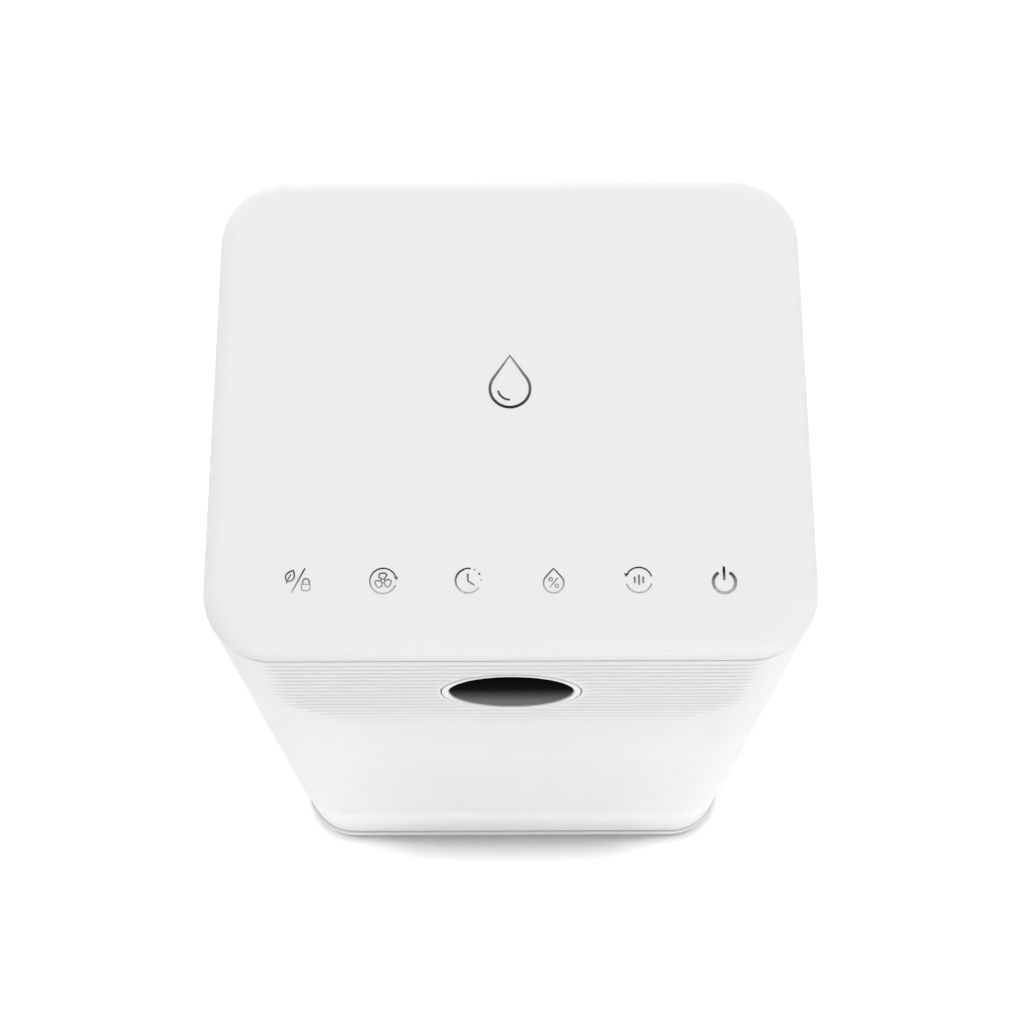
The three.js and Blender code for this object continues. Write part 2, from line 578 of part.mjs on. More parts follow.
function compressor() {
  const { x, y, r, low, high } = COMPRESSOR;
  const can = turnedZ(
    [
      [0, low + 0.5],
      [r - 10, low + 0.5],
      [r - 2, low + 8],
      [r, low + 16],
      [r, high - 22],
      [r - 3, high - 10],
      [r - 12, high - 3],
      [0, high],
    ],
    x,
    y,
    ROUND,
  );
  const weld = rodZ(r + 1.2, high - 34, high - 30, x, y);
  const ears = earPlaces.map(([ex, ey]) => {
    const arm = new THREE.BoxGeometry(EAR_R, 16, 2.2).translate(EAR_R / 2, 0, low + 1.1);
    arm.rotateZ(Math.atan2(ey - y, ex - x)).translate(x, y, 0);
    return join(solid(arm), rodZ(9, low, low + 2.2, ex, ey, 16));
  });
  const holes = earPlaces.map(([ex, ey]) => rodZ(3.6, low - 1, low + 4, ex, ey, 12));
  return cut(join(can, weld, ears), holes);
}
piece("compressor", compressor(), BLACK_METAL);

earPlaces.forEach(([x, y], i) => {
  const [low, high] = [DECK_TOP + GAP, COMPRESSOR.low - GAP];
  const profile = [[3.5, low], [9, low], [7.4, low + 3], [7.4, high - 3], [9, high], [3.5, high], [3.5, low]];
  piece(`compressor_grommet_${i + 1}`, turnedZ(profile, x, y, 14), RUBBER);
  const head = rodZ(5.5, COMPRESSOR.low + 2.5, COMPRESSOR.low + 6.5, x, y, 6);
  const shank = rodZ(3, DECK_LOW + 0.2, COMPRESSOR.low + 3, x, y, 12);
  piece(`compressor_bolt_${i + 1}`, join(head, shank), STEEL);
});

const CAP_BASE = COMPRESSOR.high + 0.5;
const CAP_CREST = CAP_BASE + 10.5;
const terminalCap = [[0, CAP_BASE], [17, CAP_BASE], [17, CAP_CREST - 3], [13, CAP_CREST], [0, CAP_CREST]];
piece("compressor_terminal_cap", turnedZ(terminalCap, COMPRESSOR.x, COMPRESSOR.y, 24), BLACK_METAL);

const ACCUMULATOR = { x: 20, y: 40, r: 16, low: 118, high: 214 };
const accumulatorProfile = [
  [0, ACCUMULATOR.low],
  [8, ACCUMULATOR.low],
  [15, ACCUMULATOR.low + 6],
  [ACCUMULATOR.r, ACCUMULATOR.low + 12],
  [ACCUMULATOR.r, ACCUMULATOR.high - 12],
  [13, ACCUMULATOR.high - 4],
  [6, ACCUMULATOR.high],
  [0, ACCUMULATOR.high],
];
piece("suction_accumulator", turnedZ(accumulatorProfile, ACCUMULATOR.x, ACCUMULATOR.y, 24), BLACK_METAL);

// ---------------------------------------------------------------- coils and refrigerant pipes
function coil([y0, y1]) {
  const { halfW, low, high } = COIL;
  const fins = block(-halfW, halfW, y0 + 1, y1 - 1, low + 1, high - 1);
  const plates = [-1, 1].map((s) => {
    const [a, b] = [s * halfW, s * (halfW + 1.5)].sort((p, q) => p - q);
    return block(a, b, y0, y1, low, high);
  });
  const rows = 5;
  const pitch = (high - low) / rows;
  const bends = [];
  for (const s of [-1, 1]) {
    for (let k = 0; k < rows; k++) {
      const z = low + pitch * (k + 0.5);
      const x = s * (halfW + 0.5);
      const out = s * (halfW + 9);
      const [ya, yb] = [y0 + 5.5, y1 - 5.5];
      const turn = out - s * 2;
      const path = [[x, ya, z], [turn, ya, z], [out, (ya + yb) / 2, z], [turn, yb, z], [x, yb, z]];
      bends.push(tube(path, 3, 6, 5));
    }
  }
  return join(fins, plates, bends);
}
piece("evaporator", coil(EVAPORATOR_Y), ALUMINIUM);
piece("condenser", coil(CONDENSER_Y), ALUMINIUM);

const SUCTION_ROUTE = [
  [100.4, 74, 294],
  [108, 74, 294],
  [113, 74, 286],
  [113, 72, 266],
  [110, 56, 247],
  [90, 44, 242],
  [40, 40, 241],
  [22, 40, 234],
  [20, 40, 214.6],
];
piece("suction_pipe", tube(SUCTION_ROUTE, 3, 8, 28), COPPER);
const DISCHARGE_ROUTE = [
  [-80, 42, 234.2],
  [-80, 42, 238],
  [-88, 42, 243],
  [-104, 43, 244],
  [-112.5, 44, 248],
  [-115, 44, 258],
  [-115, 44, 340],
  [-112, 44, 350],
  [-100.4, 44, 350],
];
piece("discharge_pipe", tube(DISCHARGE_ROUTE, 2.6, 8, 30), COPPER);

// The drier's can with its inlet pipe brazed on, from the bottom of the condenser.
function filterDrier() {
  const can = turnedZ([[0, 150], [3, 150], [9, 157], [9, 196], [3, 203], [0, 203]], 104, 30, 20);
  const route = [
    [104, 30, 200],
    [105, 31, 215],
    [113, 38, 238],
    [115, 44, 262],
    [113, 44, 288],
    [109, 44, 294],
    [100.4, 44, 294],
  ];
  return join(can, tube(route, 2.2, 8, 22));
}
piece("filter_drier", filterDrier(), COPPER);

// A thin coiled capillary: two turns below the drier, then up to the top of the evaporator.
function capillary() {
  const points = [[104, 30, 149.5], [104, 30, 140]];
  const turns = 2;
  const perTurn = 8;
  for (let i = 0; i <= turns * perTurn; i++) {
    const a = (2 * Math.PI * i) / perTurn;
    points.push([92 + 12 * Math.cos(a), 30 + 12 * Math.sin(a), 134 - (4 * i) / perTurn]);
  }
  points.push([112, 44, 130], [119, 60, 150], [119.3, 66, 250]);
  points.push([117, 74, 330], [112, 74, 372], [100.4, 74, 378]);
  return tube(points, 1.2, 5, 48);
}
piece("capillary_tube", capillary(), COPPER);

// ---------------------------------------------------------------- drip tray and drain hose
function dripTray() {
  const outer = plateZ(roundedRect(212, 62, 6, 0, 59), 250.5, 262, 2);
  const hollow = plateZ(roundedRect(207, 57, 4, 0, 59), 253, 263, 2);
  const nozzle = rodZ(5, 243, 252, DRAIN.x, DRAIN.y, 20);
  return cut(join(outer, nozzle), hollow, rodZ(3.6, 242, 254, DRAIN.x, DRAIN.y, 20));
}
piece("drip_tray", dripTray(), GREY);
const hoseProfile = [[5.3, 80.6], [7, 80.6], [7, 250], [5.3, 250], [5.3, 80.6]];
piece("drain_hose", turnedZ(hoseProfile, DRAIN.x, DRAIN.y, 20), RUBBER);

// ---------------------------------------------------------------- fan
// The scroll widens from the tongue, round the impeller and out through the right-hand side.
function scrollShape(grow) {
  const [r0, r1] = [62 + grow, 80 + grow];
  const [from, to] = [-20, 270];
  const points = [];
  for (let a = from; a <= to; a += 10) {
    const r = r0 + ((r1 - r0) * (a - from)) / (to - from);
    const t = THREE.MathUtils.degToRad(a);
    points.push([FAN.x + r * Math.cos(t), FAN.z + r * Math.sin(t)]);
  }
  points.push([118, FAN.z - r1], [118, FAN.z - 18 + grow]);
  return polygon(points);
}
function fanScroll() {
  const skin = plateY(scrollShape(2), FAN.front, FAN.back);
  const hollow = plateY(scrollShape(0), FAN.front + 2, FAN.back + 1);
  const mouth = block(110, 130, FAN.front + 2, FAN.back + 1, FAN.z - 80, FAN.z - 18);
  return cut(skin, hollow, mouth, rodY(7, FAN.front - 2, FAN.front + 4, FAN.x, FAN.z, 20));
}
piece("fan_scroll", fanScroll(), GREY);

function inletPlate() {
  const plate = roundedRect(208, 152, 6, 0, 338);
  const hole = new THREE.Path();
  hole.absarc(FAN.x, FAN.z, 47, 0, 2 * Math.PI, true);
  plate.holes.push(hole);
  return plateY(plate, FAN.back + GAP, FAN.back + GAP + 2, 8);
}
piece("fan_inlet_plate", inletPlate(), GREY);

const MOTOR_BACK = FAN.front - GAP;
const MOTOR_FRONT = MOTOR_BACK - 26;
const SHAFT_R = 4;
function fanMotor() {
  const profile = [
    [0, MOTOR_FRONT],
    [26, MOTOR_FRONT],
    [32, MOTOR_FRONT + 4],
    [32, MOTOR_BACK - 3],
    [30, MOTOR_BACK],
    [0, MOTOR_BACK],
  ];
  const bore = rodY(SHAFT_R + GAP, MOTOR_FRONT + 3, MOTOR_BACK + 1, FAN.x, FAN.z, 16);
  return cut(turnedY(profile, FAN.x, FAN.z), bore);
}
piece("fan_motor", fanMotor(), STEEL);
piece("fan_shaft", rodY(SHAFT_R, MOTOR_FRONT + 3 + GAP, 0, FAN.x, FAN.z, 16), STEEL);

function impeller() {
  const R = FAN.impellerR;
  const hubPlate = rodY(R, -32, -30, FAN.x, FAN.z, 40);
  const hub = rodY(11, -31, -2, FAN.x, FAN.z, 20);
  const bore = rodY(SHAFT_R + GAP, -40, 5, FAN.x, FAN.z, 16);
  const ring = cut(rodY(R, 13, 16, FAN.x, FAN.z, 40), rodY(R - 11, 12, 17, FAN.x, FAN.z, 40));
  const blades = [];
  const count = 20;
  for (let i = 0; i < count; i++) {
    const blade = new THREE.BoxGeometry(11, 46, 1.4).rotateY(THREE.MathUtils.degToRad(28));
    blade.translate(R - 6.5, -8.5, 0).rotateY((2 * Math.PI * i) / count).translate(FAN.x, 0, FAN.z);
    blades.push(solid(blade));
  }
  return cut(join(hubPlate, hub, ring, blades), bore);
}
piece("fan_impeller", impeller(), BLACK_METAL);

// ---------------------------------------------------------------- electrics
function controlBox() {
  const shell = block(-70, 70, -98, -58, DECK_TOP + GAP + 7, 200);
  const feet = [-60, 60].map((x) => block(x - 5, x + 5, -92, -62, DECK_TOP + GAP, DECK_TOP + GAP + 8));
  return cut(join(shell, feet), block(-68, 68, -96, -50, DECK_TOP + GAP + 9, 198));
}
piece("control_box", controlBox(), GREY);
function controlBoard() {
  const board = block(-64, 64, -92, -90.4, 100, 194);
  const transformer = block(-50, -20, -91, -68, 110, 140);
  const relay = block(-4, 16, -91, -76, 108, 136);
  const fuse = rodZ(4, 150, 176, 40, -88, 12);
  const heatsink = block(-40, 10, -91, -74, 160, 184);
  return join(board, transformer, relay, fuse, heatsink);
}
piece("control_board", controlBoard(), BOARD);
piece("run_capacitor", turnedZ([[0, 86.3], [18, 86.3], [18, 146], [16, 149], [0, 149]], 92, -14, 24), STEEL);
piece("humidity_sensor", join(block(68, 84, 90.3, 92, 251, 263), block(70, 82, 91, 95, 253, 261)), WHITE);

export default dehumidifier;
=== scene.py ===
"""Looks of a compact dehumidifier: fine shells, foil symbols, coils, tank and studio light.

Lengths are in mm, and become metres where a mesh or a material is made.
"""

import math

import bmesh
import bpy
from mathutils import Matrix, Vector


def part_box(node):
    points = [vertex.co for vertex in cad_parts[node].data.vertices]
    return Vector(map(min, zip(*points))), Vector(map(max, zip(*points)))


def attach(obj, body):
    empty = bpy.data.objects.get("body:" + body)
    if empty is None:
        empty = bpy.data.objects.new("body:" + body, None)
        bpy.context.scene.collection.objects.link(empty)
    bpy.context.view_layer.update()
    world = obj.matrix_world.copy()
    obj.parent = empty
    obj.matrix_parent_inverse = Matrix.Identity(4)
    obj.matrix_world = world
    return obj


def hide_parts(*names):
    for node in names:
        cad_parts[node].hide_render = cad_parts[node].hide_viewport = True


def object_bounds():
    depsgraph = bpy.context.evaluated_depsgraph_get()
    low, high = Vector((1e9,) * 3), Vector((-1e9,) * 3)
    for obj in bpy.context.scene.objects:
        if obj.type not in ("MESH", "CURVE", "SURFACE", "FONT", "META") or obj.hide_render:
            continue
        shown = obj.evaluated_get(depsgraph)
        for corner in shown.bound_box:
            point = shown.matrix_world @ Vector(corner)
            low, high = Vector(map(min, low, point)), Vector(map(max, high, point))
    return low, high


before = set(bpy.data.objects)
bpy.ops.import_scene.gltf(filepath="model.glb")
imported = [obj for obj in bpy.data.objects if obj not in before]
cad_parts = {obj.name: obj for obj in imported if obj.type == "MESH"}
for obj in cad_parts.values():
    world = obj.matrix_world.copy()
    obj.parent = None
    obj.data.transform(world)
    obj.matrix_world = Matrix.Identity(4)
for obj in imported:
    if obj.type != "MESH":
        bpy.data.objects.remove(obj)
cad_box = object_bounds()
MM = 0.001


def box_mm(node):
    """A CAD node's lowest and highest corner, in mm."""
    low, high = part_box(node)
    return Vector(low) / MM, Vector(high) / MM


# ---- driving sizes, from the frame
HIGH = Vector(cad_box[1]) / MM
HALF_X = HIGH.x
HALF_Y = HIGH.y
TOP = box_mm("top_cover")[1].z
CORNER_R = 29.0
RIM_R = 9.0  # round edge of the lid
CAP_LOW = TOP - 9.7  # the lid's lower edge
FRONT_LOW, FRONT_HIGH = box_mm("front_cover")
REAR_LOW, REAR_HIGH = box_mm("rear_cover")
TANK_LOW, TANK_HIGH = box_mm("tank_front")
SHELL_INSET = HALF_X - REAR_HIGH.x
TANK_INSET = HALF_X - TANK_HIGH.x
WALL = 2.5
RIB_PITCH = 6.0
RIB_FIRST_Z = FRONT_HIGH.z - 7.8
RIB_DEPTH = 0.6
RIB_FULL_Z = 352.0  # the grooves grow shallower below this height
RIB_END_Z = 292.0  # and have gone here
RIB_REACH = HALF_X - 21.0  # how far the upper grooves run from the middle
RIB_LOW_REACH = HALF_X - 53.0  # and the lowest ones
LENS_LOW, LENS_HIGH = box_mm("display_lens")
DISPLAY_Z = (LENS_LOW.z + LENS_HIGH.z) / 2
LENS_R = (LENS_HIGH.z - LENS_LOW.z) / 2
BEZEL_R = box_mm("display_bezel")[1].x
SYMBOL_PITCH = 34.3
SYMBOL_Y = -76.6
FOIL = 0.12  # thickness
# Painted shadow line along the seam under the lid: its height, its half width and how dark it paints the
# white.
SEAM_Z = (CAP_LOW + FRONT_HIGH.z) / 2
SEAM_HALF = 1.15
SEAM_SHADE = 0.52
PLINTH_TOP = 13.0
TANK_DROP = 0.7  # the drawer's face reaches this far below its CAD edge, which narrows the slot


# ---- materials
def nodes_of(mat):
    mat.use_nodes = True
    tree = mat.node_tree
    return tree, tree.nodes["Principled BSDF"]


def add(tree, kind, **sockets):
    """A node with its input sockets set by name; a socket given another node's output is linked."""
    node = tree.nodes.new(kind)
    for key, value in sockets.items():
        socket = node.inputs[key.replace("_", " ")]
        if isinstance(value, bpy.types.NodeSocket):
            tree.links.new(value, socket)
        else:
            socket.default_value = value
    return node


def remap(tree, value, low, high, from_low=0.3, from_high=0.7, smooth=False):
    node = add(tree, "ShaderNodeMapRange", Value=value)
    node.interpolation_type = "SMOOTHSTEP" if smooth else "LINEAR"
    node.inputs["From Min"].default_value = from_low
    node.inputs["From Max"].default_value = from_high
    node.inputs["To Min"].default_value = low
    node.inputs["To Max"].default_value = high
    return node.outputs["Result"]


def fill_inputs(tree, node, values):
    """Sets or links a node's inputs, given by index."""
    for index, value in values:
        if isinstance(value, bpy.types.NodeSocket):
            tree.links.new(value, node.inputs[index])
        else:
            node.inputs[index].default_value = value


def mix_colour(tree, factor, a, b):
    node = tree.nodes.new("ShaderNodeMix")
    node.data_type = "RGBA"
    fill_inputs(tree, node, ((0, factor), (6, a), (7, b)))
    return node.outputs[2]


def combine(tree, operation, *values, kind="ShaderNodeMath", output=0):
    """A maths node's result."""
    node = tree.nodes.new(kind)
    node.operation = operation
    fill_inputs(tree, node, enumerate(values))
    return node.outputs[output]


def object_place(tree):
    return tree.nodes.new("ShaderNodeTexCoord").outputs["Object"]


def noise(tree, place, scale, detail):
    return add(tree, "ShaderNodeTexNoise", Vector=place, Scale=float(scale), Detail=detail).outputs["Fac"]


def add_bump(tree, shader, height, strength, distance):
    bumped = add(tree, "ShaderNodeBump", Strength=strength, Distance=distance, Height=height)
    tree.links.new(bumped.outputs["Normal"], shader.inputs["Normal"])


def rgba(colour, gain=1.0):
    return (*(min(1.0, c * gain) for c in colour), 1.0)


def surface(name, colour, rough, metal=0.0, grain=2200, bump=0.05, mottle=0.03, spread=0.05,
            wear=0.0, coat=0.0):
    """A worn-in finish: broad mottling, fine grain in the bump, uneven roughness and rubbed edges."""
    mat = bpy.data.materials.new(name)
    tree, shader = nodes_of(mat)
    place = object_place(tree)
    broad = noise(tree, place, 14, 3.0)
    fine = noise(tree, place, grain, 2.0)
    smudge = noise(tree, place, 55, 4.0)
    tone = mix_colour(tree, remap(tree, broad, 0.0, 1.0), rgba(colour, 1 - mottle), rgba(colour, 1 + mottle))
    if wear:
        edge = tree.nodes.new("ShaderNodeNewGeometry").outputs["Pointiness"]
        rubbed = remap(tree, edge, 0.0, wear, 0.52, 0.62)
        tone = mix_colour(tree, rubbed, tone, rgba(colour, 1.0 + 2 * wear))
    tree.links.new(tone, shader.inputs["Base Color"])
    tree.links.new(remap(tree, smudge, rough - spread, rough + spread), shader.inputs["Roughness"])
    add_bump(tree, shader, fine, bump, 0.0002)
    shader.inputs["Metallic"].default_value = metal
    shader.inputs["Coat Weight"].default_value = coat
    return mat


def shell_white_seam_shadowed(name, colour, rough, bump=0.035):
    """Satin plastic, with a painted shadow line along the seam under the lid."""
    mat = surface(name, colour, rough, grain=2600, bump=bump, mottle=0.003, spread=0.02)
    tree, shader = nodes_of(mat)
    shader.inputs["Specular IOR Level"].default_value = 0.4
    height = add(tree, "ShaderNodeSeparateXYZ", Vector=object_place(tree)).outputs["Z"]
    # Painted shadow: the white is darkened in a thin band at the seam's height, where the gap under the lid
    # lies in shade.
    painted_seam_shadow = combine(tree, "COMPARE", height, SEAM_Z * MM, SEAM_HALF * MM)
    plain = shader.inputs["Base Color"].links[0].from_socket
    tree.links.new(mix_colour(tree, painted_seam_shadow, plain, rgba(colour, SEAM_SHADE)), shader.inputs["Base Color"])
    return mat


def painted_reflection_grade(name, low_colour, high_colour, low, high, axis, rough, metal, smooth=False):
    """A grade from one colour to another along an object axis, in metres, that paints a reflection on the
    surface.
    """
    mat = bpy.data.materials.new(name)
    tree, shader = nodes_of(mat)
    place = object_place(tree)
    part = add(tree, "ShaderNodeSeparateXYZ", Vector=place).outputs[axis]
    speck = noise(tree, place, 900, 3.0)
    grade = remap(tree, part, 0.0, 1.0, low, high, smooth)
    tone = mix_colour(tree, grade, rgba(low_colour), rgba(high_colour))
    tree.links.new(tone, shader.inputs["Base Color"])
    tree.links.new(remap(tree, speck, rough * 0.7, rough * 1.3), shader.inputs["Roughness"])
    add_bump(tree, shader, speck, 0.02, 0.0001)
    shader.inputs["Metallic"].default_value = metal
    return mat


WHITE = shell_white_seam_shadowed("white_satin", (0.685, 0.685, 0.687), 0.38)
# The drawer face's white is the same plastic as the casing, painted lighter and a little bluer to lift the
# shade on the set-back face near the floor.
TANK_WHITE_PAINTED_LIGHTER = shell_white_seam_shadowed("tank_white_painted_lighter", (0.74, 0.743, 0.757), 0.34)
GLOSS_WHITE = shell_white_seam_shadowed("gloss_white", (0.69, 0.69, 0.69), 0.2, bump=0.01)
RUBBER = surface("rubber", (0.03, 0.03, 0.032), 0.7, grain=1500, bump=0.25, mottle=0.2, wear=0.3)
STEEL = surface("zinc_steel", (0.55, 0.56, 0.58), 0.34, metal=1.0, grain=900, bump=0.08, mottle=0.1, wear=0.3)
CAN_BLACK = surface("black_enamel", (0.02, 0.02, 0.023), 0.3, grain=700, bump=0.15, mottle=0.2,
                    coat=0.3, wear=0.4)
COPPER = surface("copper", (0.62, 0.30, 0.17), 0.3, metal=1.0, grain=600, bump=0.06, mottle=0.25)
FIN = surface("aluminium_fin", (0.72, 0.73, 0.75), 0.36, metal=1.0, grain=900, bump=0.08, mottle=0.08)
GREY = surface("grey_plastic", (0.30, 0.31, 0.33), 0.5, grain=1800, bump=0.1, mottle=0.05, wear=0.2)
BLACK = surface("black_plastic", (0.025, 0.025, 0.027), 0.45, grain=1800, bump=0.12, mottle=0.15, wear=0.3)
NET = surface("filter_net", (0.07, 0.075, 0.08), 0.6, grain=3000, bump=0.2, mottle=0.1)


def board_material():
    """Green solder mask with a maze of thin tracks."""
    mask = (0.02, 0.12, 0.055)
    mat = surface("circuit_board", mask, 0.35, grain=1200, bump=0.05, mottle=0.1)
    tree, shader = nodes_of(mat)
    tracks = add(tree, "ShaderNodeTexBrick", Vector=object_place(tree), Scale=160.0,
                 Color1=rgba(mask), Color2=(0.025, 0.15, 0.07, 1), Mortar=(0.05, 0.24, 0.11, 1))
    tree.links.new(tracks.outputs["Color"], shader.inputs["Base Color"])
    return mat


def vessel_material():
    """Pale translucent polypropylene."""
    mat = surface("tank_polypropylene", (0.78, 0.84, 0.88), 0.32, grain=1600, bump=0.05, mottle=0.02)
    shader = nodes_of(mat)[1]
    shader.inputs["Transmission Weight"].default_value = 0.55
    shader.inputs["IOR"].default_value = 1.49
    return mat


TANK_LID = surface("lid_polypropylene", (0.62, 0.66, 0.69), 0.4, grain=1600, bump=0.06, mottle=0.02, wear=0.1)
BOARD = board_material()
VESSEL = vessel_material()


# ---- mesh making
def mesh_piece(name, verts, faces, material, body, nodes=(), smooth=32):
    """A piece from points in mm, smooth but for edges sharper than the given angle."""
    mesh = bpy.data.meshes.new(name)
    mesh.from_pydata([Vector(v) * MM for v in verts], [], faces)
    obj = bpy.data.objects.new(name, mesh)
    bpy.context.collection.objects.link(obj)
    finish_mesh(obj, material, smooth)
    if body:
        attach(obj, body)
        if nodes:
            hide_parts(*nodes)
    return obj


def finish_mesh(obj, material, smooth):
    mesh = obj.data
    tidy = bmesh.new()
    tidy.from_mesh(mesh)
    bmesh.ops.recalc_face_normals(tidy, faces=tidy.faces)
    tidy.to_mesh(mesh)
    tidy.free()
    mesh.materials.clear()
    mesh.materials.append(material)
    mesh.shade_smooth()
    mesh.set_sharp_from_angle(angle=math.radians(smooth))


class Build:
    """Collects points and faces of several closed parts into one mesh."""

    def __init__(self):
        self.verts = []
        self.faces = []

    def take(self, verts, faces):
        start = len(self.verts)
        self.verts += [tuple(v) for v in verts]
        self.faces += [[start + i for i in f] for f in faces]
        return self

    def loft(self, rings, cap_start=True, cap_end=True, loop=False):
        """Joins closed rings of equal length into a tube, with its ends closed or joined to each other."""
        n = len(rings[0])
        verts = [p for ring in rings for p in ring]
        count = len(rings)
        faces = []
        for k in range(count if loop else count - 1):
            a, b = k * n, ((k + 1) % count) * n
            faces += [[a + i, a + (i + 1) % n, b + (i + 1) % n, b + i] for i in range(n)]
        if cap_start and not loop:
            faces.append(list(range(n))[::-1])
        if cap_end and not loop:
            faces.append([(count - 1) * n + i for i in range(n)])
        return self.take(verts, faces)

    def block(self, x0, x1, y0, y1, z0, z1, chamfer=0.3):
        """A box with its upright edges and both its ends chamfered."""
        c = chamfer

        def ring(z, d):
            a, b, p, q = x0 + d, x1 - d, y0 + d, y1 - d
            near = [(a + c, p), (b - c, p), (b, p + c), (b, q - c)]
            far = [(b - c, q), (a + c, q), (a, q - c), (a, p + c)]
            return [(x, y, z) for x, y in near + far]

        return self.loft([ring(z0, c), ring(z0 + c, 0), ring(z1 - c, 0), ring(z1, c)])

    def piece(self, name, material, body, slot, nodes=(), smooth=32):
        return mesh_piece(name, self.verts, self.faces, material, body, nodes, smooth)

    def shell(self, name, node, smooth=32):
        return self.piece(name, WHITE, "casing", "white_shell", [node], smooth)


def rounded(half_u, half_v, r, centre=(0.0, 0.0), seg=12):
    """Rounded rectangle as (u, v, outward normal u, outward normal v), counter-clockwise."""
    points = []
    for k, (su, sv) in enumerate(((1, 1), (-1, 1), (-1, -1), (1, -1))):
        cu, cv = centre[0] + su * (half_u - r), centre[1] + sv * (half_v - r)
        for i in range(seg + 1):
            a = (k + i / seg) * math.pi / 2
            points.append((cu + r * math.cos(a), cv + r * math.sin(a), math.cos(a), math.sin(a)))
    return points


def inset(path, d):
    return [(u - nu * d, v - nv * d) for u, v, nu, nv in path]


def at_z(path, d, z):
    return [(x, y, z) for x, y in inset(path, d)]


CASING = rounded(HALF_X, HALF_Y, CORNER_R, seg=20)


def lathe(profile, centre, axis="z", seg=64):
    """Rings of a (radius, height) profile turned about a line along an axis; a radius of 0 closes an end."""
    rings = []
    for r, h in profile:
        ring = []
        for i in range(seg):
            a = 2 * math.pi * i / seg
            u, v = max(r, 0.001) * math.cos(a), max(r, 0.001) * math.sin(a)
            if axis == "z":
                ring.append((centre[0] + u, centre[1] + v, h))
            elif axis == "y":
                ring.append((centre[0] + u, h, centre[2] + v))
            else:
                ring.append((h, centre[1] + u, centre[2] + v))
        rings.append(ring)
    return rings


def arc_points(cx, cy, r, start, end, steps):
    """Points on an arc, angles in degrees."""
    angles = [math.radians(start + (end - start) * i / steps) for i in range(steps + 1)]
    return [(cx + r * math.cos(a), cy + r * math.sin(a)) for a in angles]


def rises(base, *points):
    """Profile points with their heights counted up from a base."""
    return [(r, base + h) for r, h in points]


def sinks(base, *points):
    """Profile points with their heights counted down from a base."""
    return [(r, base - h) for r, h in points]


def boolean(obj, cutters):
    """Cuts the cutters out of the object's mesh and removes them."""
    for cutter in cutters:
        mod = obj.modifiers.new("cut", "BOOLEAN")
        mod.operation = "DIFFERENCE"
        mod.solver = "EXACT"
        mod.object = cutter
    graph = bpy.context.evaluated_depsgraph_get()
    made = bpy.data.meshes.new_from_object(obj.evaluated_get(graph))
    obj.modifiers.clear()
    obj.data = made
    for cutter in cutters:
        bpy.data.objects.remove(cutter, do_unlink=True)


def cutter(rings):
    return Build().loft(rings).piece("cutter", WHITE, None, None)


# ---- shared forms
def place_on(axis, u, v, h):
    return {"x": (h, u, v), "y": (u, h, v), "z": (u, v, h)}[axis]


def rect_rings(half_u, half_v, r, centre, profile, axis="z", seg=8):
    """Rings of a rounded rectangle, one for each (inset, height along the axis) of a profile."""
    rings = []
    for d, h in profile:
        path = rounded(half_u - d, half_v - d, max(r - d, 0.4), centre, seg)
        rings.append([place_on(axis, u, v, h) for u, v, _, _ in path])
    return rings


def slab(half_u, half_v, r, centre, low, high, axis="z", edge=0.4, seg=8):
    """A closed plate with eased edges."""
    profile = [(edge, low), (edge * 0.3, low + edge * 0.3), (0, low + edge)]
    profile += [(0, high - edge), (edge * 0.3, high - edge * 0.3), (edge, high)]
    return rect_rings(half_u, half_v, r, centre, profile, axis, seg)


def prism(section, axis, low, high):
    """A section of (u, v) points carried along an axis."""
    return [[place_on(axis, u, v, h) for u, v in section] for h in (low, high)]


def sweep(points, r, seg=10):
    """Rings of a round tube along points, without twist."""
    pts = [Vector(p) for p in points]
    rings, side = [], None
    for i, p in enumerate(pts):
        along = (pts[min(i + 1, len(pts) - 1)] - pts[max(i - 1, 0)]).normalized()
        side = along.orthogonal() if side is None else side
        side = (side - along * side.dot(along)).normalized()
        up = along.cross(side)
        turns = [2 * math.pi * k / seg for k in range(seg)]
        rings.append([p + (side * math.cos(a) + up * math.sin(a)) * r for a in turns])
    return rings


def append(obj, extra):
    """Adds the parts of a Build to an object's mesh."""
    mesh = bmesh.new()
    mesh.from_mesh(obj.data)
    verts = [mesh.verts.new(Vector(v) * MM) for v in extra.verts]
    for face in extra.faces:
        mesh.faces.new([verts[i] for i in face])
    mesh.to_mesh(obj.data)
    mesh.free()


def cylinder(r, low, high, centre, axis, seg=48):
    return cutter(lathe([(0, low), (r, low), (r, high), (0, high)], centre, axis, seg))


# ---- camera, as fitted to the casing's edges
def make_camera():
    lift = box_mm("base_tray")[0].z
    pitch, yaw, roll = math.radians(70.755), math.radians(-0.392), math.radians(-0.591)
    forward = Vector((math.sin(yaw) * math.cos(pitch), math.cos(yaw) * math.cos(pitch), -math.sin(pitch)))
    flat_right = Vector((math.cos(yaw), -math.sin(yaw), 0.0))
    flat_up = flat_right.cross(forward)
    right = flat_right * math.cos(roll) + flat_up * math.sin(roll)
    up = flat_up * math.cos(roll) - flat_right * math.sin(roll)
    data = bpy.data.cameras.new("camera")
    data.sensor_width = 36.0
    data.lens = 66.43
    data.clip_end = 200.0
    camera = bpy.data.objects.new("camera", data)
    turn = Matrix((right, up, -forward)).transposed().to_4x4()
    turn.translation = Vector((1.572, -299.272, 1153.488 + lift)) * MM
    camera.matrix_world = turn
    bpy.context.collection.objects.link(camera)
    bpy.context.scene.camera = camera


